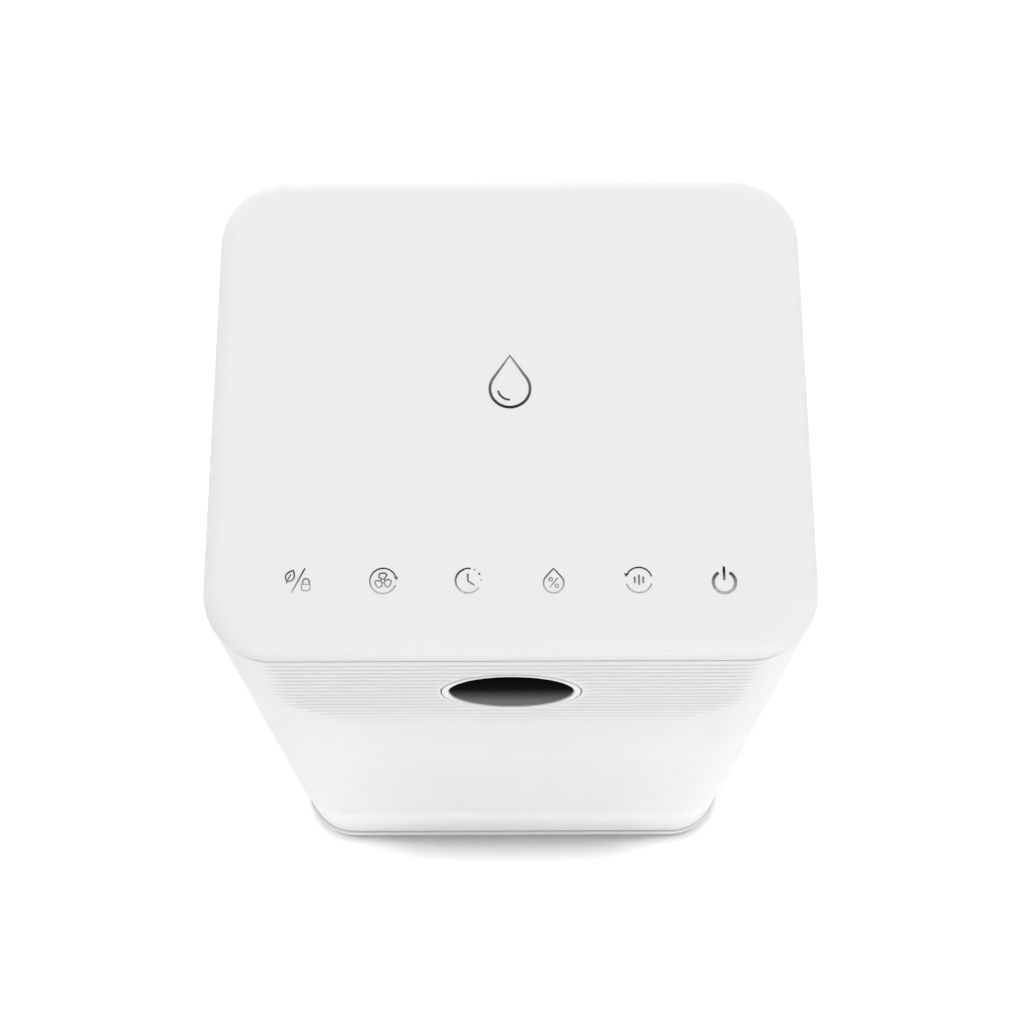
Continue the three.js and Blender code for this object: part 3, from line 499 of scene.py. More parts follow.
def side_glow(tree, place):
    """A soft glow of the paper beside the casing, so that the shadow fades towards the front corners."""
    vector = "ShaderNodeVectorMath"
    apart = combine(tree, "ABSOLUTE", place, kind=vector)
    core = Vector((HALF_X - CORNER_R, HALF_Y - CORNER_R, 0.0)) * MM
    past_core = combine(tree, "SUBTRACT", apart, core, kind=vector)
    past_core = combine(tree, "MAXIMUM", past_core, (0.0, 0.0, 0.0), kind=vector)
    reach = combine(tree, "LENGTH", past_core, kind=vector, output="Value")
    radius = CORNER_R * MM
    outside = remap(tree, reach, 0.0, 1.0, radius - 0.001, radius + 0.006, smooth=True)
    across = add(tree, "ShaderNodeSeparateXYZ", Vector=apart).outputs["X"]
    beside = combine(tree, "MULTIPLY", outside, remap(tree, across, 0.0, 0.3, 0.05, 0.12, smooth=True))
    return combine(tree, "MULTIPLY", beside, remap(tree, reach, 1.0, 0.0, 0.1, 0.3, smooth=True))


def make_floor():
    bpy.ops.mesh.primitive_plane_add(size=120.0, location=(0, 0, 0))
    floor = bpy.context.active_object
    floor.name = "floor"
    mat = bpy.data.materials.new("floor_paper")
    tree, shader = nodes_of(mat)
    place = object_place(tree)
    tree.links.new(remap(tree, noise(tree, place, 350, 3.0), 0.75, 0.9), shader.inputs["Roughness"])
    shader.inputs["Base Color"].default_value = (0.95, 0.95, 0.955, 1)
    shader.inputs["Specular IOR Level"].default_value = 0.0
    shader.inputs["Emission Color"].default_value = (1, 1, 1, 1)
    tree.links.new(side_glow(tree, place), shader.inputs["Emission Strength"])
    floor.data.materials.append(mat)


def make_sky():
    """White at the horizon and greyer above."""
    world = bpy.data.worlds.new("studio")
    bpy.context.scene.world = world
    world.use_nodes = True
    tree = world.node_tree
    sky = tree.nodes["Background"]
    sky.inputs["Strength"].default_value = 1.0
    way = tree.nodes.new("ShaderNodeTexCoord").outputs["Generated"]
    rise = add(tree, "ShaderNodeSeparateXYZ", Vector=way).outputs["Z"]
    tree.links.new(remap(tree, rise, 1.0, 0.4, 0.02, 0.3, smooth=True), sky.inputs["Color"])


def make_lamps():
    """Overhead light fanned out over five suns, so that its shadow fades at both ends, and two soft lamps."""
    sun_power, sun_tilts = 2.52, ((-16, 0.14), (-8, 0.21), (0, 0.3), (8, 0.21), (16, 0.14))
    for tilt, share in sun_tilts:
        overhead = bpy.data.lights.new("overhead", "SUN")
        overhead.energy = sun_power * share
        overhead.angle = math.radians(3.8)
        high = bpy.data.objects.new("overhead", overhead)
        high.rotation_euler = (math.radians(-1.9), math.radians(tilt), 0.0)
        high.visible_glossy = False
        bpy.context.collection.objects.link(high)
    for name, place, size, power in (
        ("front_fill", (1.1, -2.3, 0.45), 1.4, 17.0),
        ("rear_fill", (-0.3, 2.6, 1.0), 1.6, 12.0),
    ):
        lamp = bpy.data.lights.new(name, "AREA")
        lamp.size = size
        lamp.energy = power
        holder = bpy.data.objects.new(name, lamp)
        holder.location = place
        holder.rotation_mode = "QUATERNION"
        holder.rotation_quaternion = (Vector(place) - Vector((0, 0, 0.3))).to_track_quat("Z", "Y")
        bpy.context.collection.objects.link(holder)


make_camera()
make_floor()
make_sky()
make_lamps()
bpy.context.scene.view_settings.view_transform = "Standard"
bpy.context.scene.view_settings.look = "None"


# ---- casing
def top_cover():
    """Flat lid with a round rim and a lip underneath, and a locating wall inside the covers."""
    build = Build()
    lip = rises(CAP_LOW, (6.5, 6.5), (6.5, 0), (0.6, 0), (0.15, 0.2), (0.0, 0.6))
    rim_z = TOP - RIM_R
    turns = [math.radians(90 * i / 14) for i in range(15)]
    rim = [(RIM_R - RIM_R * math.cos(t), rim_z + RIM_R * math.sin(t)) for t in turns]
    flat = [(RIM_R + 0.6, TOP), (RIM_R + 6.0, TOP)]
    build.loft([at_z(CASING, d, z) for d, z in lip + rim + flat])
    low, high = CAP_LOW - 8, CAP_LOW + 0.5
    wall = [(3.1, low + 0.4), (3.1, high), (5.3, high), (5.3, low), (3.5, low)]
    build.loft([at_z(CASING, d, z) for d, z in wall], loop=True)
    build.shell("top_cover_shell", "top_cover")


def open_path(y_end, rear=False, flat_steps=1):
    """The casing's outline from one side wall round the front, or the back, to the other, with normals."""
    s = 1 if rear else -1
    halfway = s * (HALF_Y - CORNER_R) * 0.5 + y_end * 0.5
    points = [(HALF_X, y_end, 1.0, 0.0), (HALF_X, halfway, 1.0, 0.0)]
    steps = 20
    for sx in (1, -1):
        cx, cy = sx * (HALF_X - CORNER_R), s * (HALF_Y - CORNER_R)
        for i in range(steps + 1):
            a = math.radians(90 * i / steps)
            if sx < 0:
                a = math.pi / 2 - a
            nx, ny = sx * math.cos(a), s * math.sin(a)
            points.append((cx + CORNER_R * nx, cy + CORNER_R * ny, nx, ny))
        if sx > 0:
            reach = HALF_X - CORNER_R
            for i in range(1, flat_steps):
                points.append((reach - 2 * reach * i / flat_steps, s * HALF_Y, 0.0, float(s)))
    points += [(-x, y, -nx, ny) for x, y, nx, ny in points[1::-1]]
    return points


def skin(path, levels, wall, base_inset, relief=None):
    """Lofts an open wall: each level is (z, extra inset); relief(x, z) adds a local groove depth."""
    rings = []
    for z, extra in levels:
        outer = []
        for x, y, nx, ny in path:
            d = base_inset + extra + (relief(x, z) if relief else 0.0)
            outer.append((x - nx * d, y - ny * d, z))
        back = base_inset + wall
        inner = [(x - nx * back, y - ny * back, z) for x, y, nx, ny in path]
        rings.append(outer + inner[::-1])
    return rings


def skin_faces(build, rings):
    """Closes the two ends of a wall with quads across its thickness."""
    n = len(rings[0])
    half = n // 2
    start = len(build.verts)
    build.loft(rings, cap_start=False, cap_end=False)
    for k in (0, len(rings) - 1):
        at = start + k * n
        for i in range(half - 1):
            build.faces.append([at + i, at + i + 1, at + n - 2 - i, at + n - 1 - i])
    return build


def lower_edge(z):
    """Levels of a wall's eased lower edge, for skin."""
    return [(z, 0.5), (z + 0.15, 0.15), (z + 0.5, 0.0)]


def upper_edge(z):
    return [(z - 0.5, 0.0), (z - 0.15, 0.15), (z, 0.5)]


def smoothstep(low, high, value):
    t = min(1.0, max(0.0, (value - low) / (high - low)))
    return t * t * (3 - 2 * t)


def rib_relief(x, z):
    """Horizontal grooves that fade out where the corners begin and towards the lower half of the front."""
    if z > RIB_FIRST_Z + RIB_PITCH / 2 or z < RIB_END_Z:
        return 0.0
    turn = 2 * math.pi * (RIB_FIRST_Z - z) / RIB_PITCH
    groove = (0.5 + 0.5 * math.cos(turn)) ** 3.2
    edge = RIB_LOW_REACH + (RIB_REACH - RIB_LOW_REACH) * smoothstep(RIB_END_Z, RIB_FULL_Z + 8, z)
    sideways = smoothstep(-edge, 9.0 - edge, -abs(x))
    land = smoothstep(BEZEL_R + 1.2, BEZEL_R + 3.6, math.hypot(x, z - DISPLAY_Z))
    return RIB_DEPTH * groove * sideways * land * smoothstep(RIB_END_Z, RIB_FULL_Z, z)


def front_cover():
    path = open_path(FRONT_HIGH.y, flat_steps=120)
    per_rib = 10
    first = RIB_FIRST_Z + RIB_PITCH / 2
    ribs = int((first - RIB_END_Z) / RIB_PITCH) + 1
    ribbed = [(first - RIB_PITCH * i / per_rib, 0.0) for i in range(ribs * per_rib + 1)]
    levels = upper_edge(FRONT_HIGH.z)[::-1] + ribbed + lower_edge(FRONT_LOW.z)[::-1]
    build = skin_faces(Build(), skin(path, levels, WALL, SHELL_INSET, rib_relief))
    obj = build.shell("front_cover_shell", "front_cover")
    boolean(obj, [cylinder(BEZEL_R + 0.55, -HALF_Y - 4, -HALF_Y + 9, (0, 0, DISPLAY_Z), "y", 96)])
    finish_mesh(obj, WHITE, 40)


def tank_front():
    """The drawer's face, with a finger scoop in each side."""
    path = open_path(TANK_HIGH.y, flat_steps=12)
    low, high = TANK_LOW.z - TANK_DROP, TANK_HIGH.z
    levels = [(low, 0.25), (low + 0.08, 0.08), (low + 0.25, 0.0)]
    levels += [(high - 0.9, 0.0), (high - 0.3, 0.3), (high, 0.9)]
    build = skin_faces(Build(), skin(path, levels, WALL, TANK_INSET))
    obj = build.piece("tank_front_shell", TANK_WHITE_PAINTED_LIGHTER, "tank", "white_shell", ["tank_front"])
    face = HALF_X - TANK_INSET
    scoop = (15, 13, 8, (-60, 52))
    cups, holes = Build(), []
    for s in (-1, 1):
        holes.append(cutter(rect_rings(*scoop, [(0, s * (face - 6)), (0, s * (face + 6))], "x", 12)))
        cup = sinks(face, (-1.6, 9), (-2, 8.6)) + [(-2, face - WALL + 0.1), (0, face - WALL + 0.1)]
        cup += sinks(face, (0, 4.2), (0.5, 5.7), (1.7, 6.7), (3.5, 7), (6, 7))
        cups.loft(rect_rings(*scoop, [(d, s * x) for d, x in cup], "x", 12))
    boolean(obj, holes)
    append(obj, cups)
    finish_mesh(obj, TANK_WHITE_PAINTED_LIGHTER, 40)


top_cover()
front_cover()
tank_front()


# ---- display
def display():
    face = -HALF_Y
    ring = rises(face, (LENS_R + 0.25, 2.9), (LENS_R + 0.25, 0.55), (LENS_R + 0.6, 0.12), (LENS_R + 1.1, 0))
    ring += rises(face, (BEZEL_R - 0.9, 0), (BEZEL_R - 0.25, 0.2), (BEZEL_R, 0.8), (BEZEL_R, 6))
    ring += rises(face, (24, 6), (24, 2.9))
    Build().loft(lathe(ring, (0, 0, DISPLAY_Z), "y", 96), loop=True).piece(
        "display_ring", GLOSS_WHITE, "casing", "gloss_white", ["display_bezel"])
    dome = rises(face + 0.6, (0, 0), (LENS_R * 0.6, 0.02), (LENS_R - 1.2, 0.1), (LENS_R - 0.3, 0.25))
    dome += rises(face + 0.6, (LENS_R, 0.6), (LENS_R, 2), (0, 2))
    # A dark window. Its grey lower part, fading to near black at the top, is a painted reflection.
    lens_tint_and_reflection = painted_reflection_grade("dark_window_painted_reflection", (0.155, 0.155, 0.155), (0.0005, 0.0005, 0.0005),
                   (DISPLAY_Z - LENS_R) * MM, (DISPLAY_Z + LENS_R * 0.22) * MM, "Z", 0.06, 0.0, smooth=True)
    nodes_of(lens_tint_and_reflection)[1].inputs["IOR"].default_value = 1.01
    Build().loft(lathe(dome, (0, 0, DISPLAY_Z), "y", 96)).piece(
        "display_window", lens_tint_and_reflection, "casing", "black_lens", ["display_lens"])


display()


# ---- printed foil symbols
class Foil(Build):
    """Flat strokes and shapes on the lid, each a hair thicker than the last so that none share a face."""

    def __init__(self, cx, cy):
        super().__init__()
        self.cx = cx
        self.cy = cy
        self.lift = 0.0
        self.sunk = 0.05

    def top(self):
        self.lift += 0.004
        return TOP + FOIL + self.lift

    def stroke(self, points, width, closed=False):
        """A ribbon of even width with rounded ends along the points, in mm from the symbol's middle."""
        pts = [Vector(p) for p in points]
        widths = [width] * len(pts)
        if not closed:
            start, end = (pts[0] - pts[1]).normalized(), (pts[-1] - pts[-2]).normalized()
            steps = [0.25, 0.5, 0.75, 0.93, 0.995]
            round_w = [width * math.sqrt(1 - t * t) for t in steps]
            pts = [pts[0] + start * t * width / 2 for t in steps[::-1]] + pts
            pts += [pts[-1] + end * t * width / 2 for t in steps]
            widths = round_w[::-1] + widths + round_w
        n = len(pts)
        top, rings = self.top(), []
        for i, (p, w) in enumerate(zip(pts, widths)):
            before = pts[i - 1] if (closed or i) else p
            after = pts[(i + 1) % n] if (closed or i < n - 1) else p
            along = ((p - before).normalized() + (after - p).normalized()).normalized()
            side = Vector((-along.y, along.x))
            across = after - before
            bend = max(0.5, side.dot(Vector((-across.y, across.x)).normalized()))
            a, b = p + side * w / 2 / bend, p - side * w / 2 / bend
            corners = ((a, top), (b, top), (b, TOP - self.sunk), (a, TOP - self.sunk))
            rings.append([(self.cx + q.x, self.cy + q.y, z) for q, z in corners])
        return self.loft(rings, loop=closed)

    def fill(self, points):
        top = self.top()
        return self.loft([[(self.cx + x, self.cy + y, z) for x, y in points] for z in (TOP - self.sunk, top)])

    def arc(self, cx, cy, radius, start, end, width):
        closed = abs(end - start) >= 360
        points = arc_points(cx, cy, radius, start, end, max(6, int(abs(end - start) / 7)))
        return self.stroke(points[:-1] if closed else points, width, closed)

    def dot(self, cx, cy, radius):
        return self.fill(arc_points(cx, cy, radius, 0, 360, 20)[:-1])


def drop_outline(radius, tip, drop_y=0.0):
    """A water drop: a round belly whose flanks run tangent to a point."""
    spread = math.degrees(math.asin(radius / tip))
    belly = arc_points(0, drop_y, radius, 180 - spread, 360 + spread, 24)
    return [(0, drop_y + tip)] + belly


def leaf_and_lock(foil):
    tip, base = Vector((-1.9, 4.6)), Vector((-4.3, -0.2))
    side = Vector((-(tip - base).y, (tip - base).x)).normalized()
    edges = []
    for way in (1, -1):
        bulge = [side * way * 1.75 * math.sin(math.pi * (t / 8) ** 0.85) for t in range(9)]
        edges.append([base.lerp(tip, t / 8) + bulge[t] for t in range(9)])
    foil.stroke(edges[0] + edges[1][-2:0:-1], 0.6, closed=True)
    foil.stroke([(-4.6, -0.9), (-3.9, 1.0), (-2.9, 2.7)], 0.5)
    foil.stroke([(2.6, 5.2), (0.1, 0.2), (-2.4, -4.8)], 0.6)
    foil.arc(3.3, -0.3, 1.35, -20, 200, 0.6)
    shackle = [(1.6, -1.3), (5.0, -1.3), (5.0, -3.3), (4.3, -4.0), (2.3, -4.0), (1.6, -3.3)]
    foil.stroke(shackle, 0.5, closed=True)


def fan_speed(foil):
    foil.arc(0, 0, 5.3, 18, 338, 0.6)
    foil.fill([(4.3, 1.7), (6.2, 1.7), (5.3, 0.1)])
    foil.arc(0, 0, 0.8, 0, 360, 0.5)
    for k in range(3):
        start = 58 + 120 * k
        spoke = arc_points(0, 0, 1.0, start, start, 1)[:1] + arc_points(0, 0, 2.9, start, start + 4, 1)
        crown = arc_points(0, 0, 3.3, start + 14, start + 62, 5)
        back = arc_points(0, 0, 2.2, start + 78, start + 80, 1)
        hub = arc_points(0, 0, 1.0, start + 70, start + 70, 1)[:1]
        foil.stroke(spoke + crown + back + hub, 0.55)


def timer(foil):
    foil.arc(0, 0, 5.15, 82, 322, 0.6)
    foil.arc(-0.15, 0, 5.0, 110, 235, 0.75)
    foil.stroke([(-0.2, 2.6), (-0.2, -0.1), (2.2, -1.8)], 0.75)
    for x, y, radius in ((2.5, 4.6, 0.32), (4.4, 2.8, 0.45), (5.1, 0.2, 0.32)):
        foil.dot(x, y, radius)


def humidity(foil):
    foil.stroke(drop_outline(4.1, 6.2, -1.2), 0.6, closed=True)
    foil.arc(-1.15, 0.4, 0.7, 0, 360, 0.42)
    foil.arc(1.25, -2.3, 0.7, 0, 360, 0.42)
    foil.stroke([(1.5, 0.9), (-1.4, -2.8)], 0.45)


def mode(foil):
    """Two arcs that chase each other round three plain bars."""
    foil.arc(0, 0, 5.3, 18, 150, 0.6)
    foil.arc(0, 0, 5.3, 200, 340, 0.6)
    foil.fill([(-6.0, 2.9), (-5.3, 1.2), (-3.9, 2.6)])
    for x, reach in ((-1.7, 1.1), (0.0, 1.8), (1.7, 1.1)):
        foil.stroke([(x, -reach), (x, reach)], 0.75)


def power(foil):
    foil.arc(0, -1.05, 4.5, 126, 414, 1.3)
    foil.stroke([(0, 0.2), (0, 5.1)], 1.05)


def symbols():
    # Chrome foil: its grade from light grey at the front to near black at the back is a painted reflection.
    foil_painted_reflection = painted_reflection_grade("symbol_foil_painted_reflection", (0.46, 0.46, 0.47), (0.02, 0.02, 0.022),
                 (SYMBOL_Y - 4.5) * MM, (SYMBOL_Y + 3.2) * MM, "Y", 0.3, 0.35)
    marks = (("leaf_lock", leaf_and_lock), ("fan_speed", fan_speed), ("timer", timer),
             ("humidity", humidity), ("mode", mode), ("power", power))
    for k, (name, draw) in enumerate(marks):
        foil = Foil((k - 2.5) * SYMBOL_PITCH + 0.15, SYMBOL_Y)
        draw(foil)
        foil.piece("symbol_" + name, foil_painted_reflection, "casing", "chrome_trim", smooth=50)


def emblem():
    """A plain polished drop in the middle of the lid."""
    low, high = box_mm("top_emblem")
    belly = (high.x - low.x) / 2
    belly_y = low.y + belly
    tip = high.y - belly_y
    # The polished drop's grade from dark at the front to bright at the back is a painted reflection.
    emblem_painted_reflection = painted_reflection_grade("emblem_foil_painted_reflection", (0.05, 0.05, 0.055), (0.62, 0.62, 0.63),
                   low.y * MM, high.y * MM, "Y", 0.16, 0.9)
    foil = Foil(0.0, belly_y)
    foil.stroke(drop_outline(belly - 0.6, tip - 1.0), 1.2, closed=True)
    foil.arc(0, 0, belly * 0.56, 195, 265, 0.9)
    foil.piece("emblem_drop", emblem_painted_reflection, "casing", "chrome_trim", ["top_emblem"], smooth=50)


symbols()
emblem()

# ---- rear cover and what shows through it
INLET_LOW, INLET_HIGH = 262.0, 412.0
INLET_MID = (INLET_LOW + INLET_HIGH) / 2
INLET_HALF = (92.0, 75.0)
OUTLET_MID = (10.0, 290.0)
OUTLET_HALF = (48.0, 40.0)
GRIP_MID = (6.0, 391.0)
GRIP_HALF = (40.0, 13.0)
SPOUT = (60.0, 0.0, 226.0)
GLAND = (-84.0, 0.0, 44.0)
SCREWS = [(x, z) for x in (-92.0, 92.0) for z in (150.0, 236.0)]
BACK = HALF_Y
SLIT = 0.3


def window(half, r, centre, ends, axis, seg=8):
    """A cutter for a rounded opening, a slit wider than the part that fills it."""
    rings = rect_rings(half[0] + SLIT, half[1] + SLIT, r, centre, [(0, end) for end in ends], axis, seg)
    return cutter(rings)


def rear_cover():
    path = open_path(REAR_LOW.y, rear=True)
    levels = lower_edge(REAR_LOW.z) + upper_edge(REAR_HIGH.z)
    obj = skin_faces(Build(), skin(path, levels, WALL, SHELL_INSET)).shell("rear_cover_shell", "rear_cover")
    side, through = HALF_X + 6, (95, 120)
    holes = [
        window(INLET_HALF, 8, (0, INLET_MID), through, "y"),
        window(OUTLET_HALF, 8, OUTLET_MID, (110, side), "x"),
        cutter(prism([(-140, 86), (-104, 86), (-104, 99), (-140, 99)], "z", INLET_LOW, INLET_HIGH)),
        cylinder(13 + SLIT, *through, SPOUT, "y", 64),
        cylinder(7 + SLIT, *through, GLAND, "y", 48),
    ]
    for s in (-1, 1):
        holes.append(window(GRIP_HALF, 12.4, GRIP_MID, sorted((s * 110, s * side)), "x", 12))
    holes += [cylinder(4.5, *through, (x, 0, z), "y", 32) for x, z in SCREWS]
    boolean(obj, holes)
    bosses = Build()
    inner = BACK - SHELL_INSET - WALL
    seat = BACK - 3.2
    for x, z in SCREWS:
        ring = rises(inner, (2.5, -8), (6.2, -8), (6.5, -7.6), (6.5, 0.2), (4.5, 0.2))
        ring += [(4.5, seat), (2.5, seat)]
        bosses.loft(lathe(ring, (x, 0, z), "y", 32), loop=True)
    append(obj, bosses)
    finish_mesh(obj, WHITE, 32)


def carry_grip(side):
    mouth = HALF_X - SHELL_INSET - 0.1
    wall_in = HALF_X - SHELL_INSET - WALL - SLIT
    outside = sinks(mouth, (7.0, 14), (4.0, 13.8), (1.8, 12.9), (0.5, 11), (0, 8))
    outside += sinks(wall_in, (0, 1.5), (-2.8, 1.5), (-3, 1.2), (-3, 0), (0, 0))
    rim = sinks(mouth, (0, 0.7), (0.2, 0.2), (0.7, 0), (1.2, 0), (1.7, 0.25), (2, 0.9))
    inside = sinks(mouth, (2.15, 7), (2.6, 9.8), (3.8, 11.4), (5.8, 12), (8.0, 12))
    profile = [(d, side * x) for d, x in outside + rim + inside]
    name = "grip_right" if side > 0 else "grip_left"
    rings = rect_rings(*GRIP_HALF, 12.2, GRIP_MID, profile, "x", 14)
    Build().loft(rings).shell(name + "_cup", name, 50)


def louvre(build, low, high, at, face, depth, height, drop, axis):
    """One slat with a round nose, running along X on the rear grille and along Y on the side one."""
    nose, tail = face - 0.15, face - depth
    half = height / 2
    below, above = at - drop - half, at - drop + half
    section = [(nose - 0.5, below), (nose - 0.12, at - drop - half * 0.6), (nose, at - drop)]
    section += [(nose - 0.12, at - drop + half * 0.6), (nose - 0.5, above)]
    section += [(tail, at + drop + half), (tail, at + drop - half)]
    build.loft(prism(section, axis, low, high))


def inlet_grille():
    build = Build()
    face = BACK - 0.1
    back = box_mm("inlet_grille")[0].y
    rim = sinks(face, (0, 0.6), (0.15, 0.15), (0.6, 0), (7.2, 0), (7.8, 0.2), (8, 0.8), (8, 2.5), (4, 2.5))
    rim += rises(back, (4, 0), (-4, 0), (-4, 1.6), (0, 1.6))
    build.loft(rect_rings(*INLET_HALF, 8, (0, INLET_MID), rim, "y", 10), loop=True)
    build.loft(slab(4, INLET_HALF[1] - 7, 0.8, (0, INLET_MID), back + 0.3, face, "y", 0.4, 3))
    rows, pitch = 14, 9.0
    for k in range(rows + 1):
        z = INLET_MID + (k - rows / 2) * pitch
        if 0 < k < rows:
            louvre(build, -84.6, -3.4, z, face, 4.2, 2.2, 0.9, "x")
            louvre(build, 3.4, 84.6, z, face, 4.2, 2.2, 0.9, "x")
    build.shell("inlet_grille_louvres", "inlet_grille", 35)


def outlet_grille():
    build = Build()
    face = HALF_X - 0.4
    back = box_mm("outlet_grille")[0].x
    rim = sinks(face, (0, 0.6), (0.15, 0.15), (0.6, 0), (5.3, 0), (5.8, 0.2), (6, 0.7), (6, 2.2), (3.5, 2.2))
    rim += rises(back, (3.5, 0), (-1.4, 0), (-1.4, 0.9), (0, 0.9))
    build.loft(rect_rings(*OUTLET_HALF, 8, OUTLET_MID, rim, "x", 10), loop=True)
    rows, pitch = 11, 6.0
    for k in range(1, rows):
        z = OUTLET_MID[1] + (k - rows / 2) * pitch
        louvre(build, OUTLET_MID[0] - 42.6, OUTLET_MID[0] + 42.6, z, face, 3.4, 1.5, 0.7, "y")
    build.shell("outlet_grille_louvres", "outlet_grille", 35)


def drain_and_gland():
    spout = sinks(BACK, (4, 18), (6, 18), (6, 12), (12.6, 12), (13, 11.6), (13, 1), (12.8, 0.55), (12.4, 0.4))
    spout += sinks(BACK, (12, 0.45), (11.5, 1), (11.4, 9.8), (10.8, 10.5), (6.3, 10.5), (6, 10.2), (6, 2.9))
    spout += sinks(BACK, (5.7, 2.4), (4, 2.4))
    Build().loft(lathe(spout, SPOUT, "y", 64), loop=True).shell("drain_cup", "drain_spout")
    cap = sinks(BACK, (0, 9), (3.2, 9), (3.6, 8.5), (3.6, 2), (7.1, 2), (7.5, 1.7), (7.5, 0.7), (7.2, 0.35))
    cap += sinks(BACK, (6.6, 0.2), (5.4, 0.2), (5.0, 0.6), (2.4, 0.6), (2.0, 0.25), (1.4, 0.2), (0, 0.2))
    Build().loft(lathe(cap, SPOUT, "y", 48)).piece(
        "drain_stopper", RUBBER, "plug", "black_rubber", ["drain_plug"])
    gland = sinks(BACK, (3.8, 9), (9.6, 9), (10, 8.6), (10, 3.6), (9.6, 3.2), (7, 3.2), (7, 1.2), (6.7, 0.5))
    gland += sinks(BACK, (6, 0.15), (5.2, 0.15), (4.4, 0.6), (3.8, 1.8))
    Build().loft(lathe(gland, GLAND, "y", 48), loop=True).piece(
        "cord_bush", RUBBER, "casing", "black_rubber", ["cord_gland"])


# ---- air filter
def filter_frame():
    low, high = INLET_LOW + SLIT, INLET_HIGH - SLIT
    centre = (-HALF_X + CORNER_R, HALF_Y - CORNER_R)
    outer, inner = CORNER_R - SHELL_INSET, CORNER_R - SHELL_INSET - WALL

    def arc(r):
        start = math.degrees(math.asin((86.3 - centre[1]) / r))
        end = math.degrees(math.asin((98.7 - centre[1]) / r))
        return [(centre[0] - x, centre[1] + y) for x, y in arc_points(0, 0, r, start, end, 14)]

    def ring(z, d):
        return [(x, y, z) for x, y in arc(outer - d) + arc(inner)[::-1]]

    obj = Build().loft([ring(low, 0.4), ring(low + 0.4, 0), ring(high - 0.4, 0), ring(high, 0.4)]).piece(
        "filter_drawer", GREY, "filter", "grey_plastic", ["filter_frame"])
    mid_x, mid_z = -6.5, INLET_MID
    boolean(obj, [cylinder(9, 70, 115, (-126.5, 0, mid_z), "y", 48)])
    frame_bars = Build()
    bars = [(0, 91.5), (0.5, 91), (5.5, 91), (6, 91.4), (6, 92.2), (4.2, 92.3), (4.2, 94.7), (6, 94.8)]
    bars += [(6, 95.6), (5.5, 96), (0.5, 96), (0, 95.5)]
    frame_bars.loft(rect_rings(110.5, 71, 3, (mid_x, mid_z), bars, "y", 6), loop=True)
    for k in (-1, 0, 1):
        frame_bars.loft(slab(0.9, 66, 0.5, (mid_x + 52.2 * k, mid_z), 91.1, 92.25, "y", 0.3, 2))
    for k in (-1, 0, 1):
        frame_bars.loft(slab(106, 0.9, 0.5, (mid_x, mid_z + 35.5 * k), 91.15, 92.2, "y", 0.3, 2))
    for z0, z1 in ((266.5, 326), (348, 407.5)):
        frame_bars.block(-121.3, -115.5, 91.3, 95.7, z0, z1)
    append(obj, frame_bars)
    finish_mesh(obj, GREY, 32)


def filter_net():
    """Woven strands that pass over and under each other."""
    x0, x1, z0, z1, y = -113.2, 101.2, 270.8, 403.2, 93.5
    pitch, half = 3.1, 0.22
    columns, rows = int((x1 - x0) / pitch), int((z1 - z0) / pitch)
    build = Build()
    xs = [x0 + (x1 - x0) * i / columns for i in range(columns + 1)]
    zs = [z0 + (z1 - z0) * k / rows for k in range(rows + 1)]
    ring = ((half, 0), (0, half), (-half, 0), (0, -half))
    for k, z in enumerate(zs):
        lifts = [half if (i + k) % 2 else -half for i in range(columns + 1)]
        build.loft([[(x, y + up + a, z + b) for a, b in ring] for x, up in zip(xs, lifts)])
    for i, x in enumerate(xs):
        lifts = [-half if (i + k) % 2 else half for k in range(rows + 1)]
        build.loft([[(x + b, y + up + a, z) for a, b in ring] for z, up in zip(zs, lifts)])
    build.piece("filter_net", NET, "filter", "filter_net", ["filter_mesh"])


# ---- base, feet and tank bay
def base_tray():
    build = Build()
    low, plinth, wall_top = 5.0, PLINTH_TOP, 82.0
    floor = rises(low, (4, 0), (0.9, 0), (0.45, 0.2), (0.3, 0.6)) + sinks(plinth, (0.3, 0.6), (0.45, 0.2))
    floor += sinks(plinth, (0.8, 0), (2.4, 0), (2.8, 0.4)) + rises(low, (2.8, 3), (6, 3))
    build.loft([at_z(CASING, d, z) for d, z in floor])
    back, bay = 88.0, 114.3
    for s in (-1, 1):
        x0, x1 = sorted((s * bay, s * (bay + 3)))
        build.block(x0, x1, -34, back + 2.5, low + 2.5, wall_top)
        build.block(s * 88 - 4, s * 88 + 4, -96, back + 0.5, low + 2.5, 14)
        build.block(s * 88 - 4, s * 88 + 4, back - 3, back + 0.5, 13, 40)
    x = bay + 2
    for x0, x1, z0, z1 in ((-x, -7, low + 2.5, wall_top), (7, x, low + 2.5, wall_top),
                           (-7.2, 7.2, low + 2.5, 40), (-7.2, 7.2, 68, wall_top)):
        build.block(x0, x1, back, back + 2.5, z0, z1, 0.05)
    build.shell("base_tray_shell", "base_tray")


def feet():
    for side in ("left", "right"):
        for end in ("front", "rear"):
            node = "foot_" + end + "_" + side
            low, high = box_mm(node)
            mid = (low + high) / 2
            sole = [(0, 0.5), (4.5, 0.5), (5, 0.1), (5.5, 0), (8.4, 0), (9.4, 0.3), (10.6, 1.4)]
            sole += [(11, 2.2), (11, 4.3), (10.6, 4.7), (4, 4.7), (4, 7.6), (3.6, 8), (0, 8)]
            Build().loft(lathe(sole, (mid.x, mid.y, 0), "z", 40)).piece(
                "pad_" + end + "_" + side, RUBBER, "casing", "black_rubber", [node])


# ---- tank drawer
VESSEL_LOW, VESSEL_HIGH = box_mm("tank_body")
VESSEL_MID = (VESSEL_LOW + VESSEL_HIGH) / 2
VESSEL_HALF = (VESSEL_HIGH - VESSEL_LOW) / 2
PIVOT_Y, PIVOT_Z = 8.0, 66.0  # the float's hinge, under the lid
FLOAT_X = -60.0


def vessel_rings(profile):
    return rect_rings(VESSEL_HALF.x, VESSEL_HALF.y, 20, (VESSEL_MID.x, VESSEL_MID.y), profile, "z", 12)


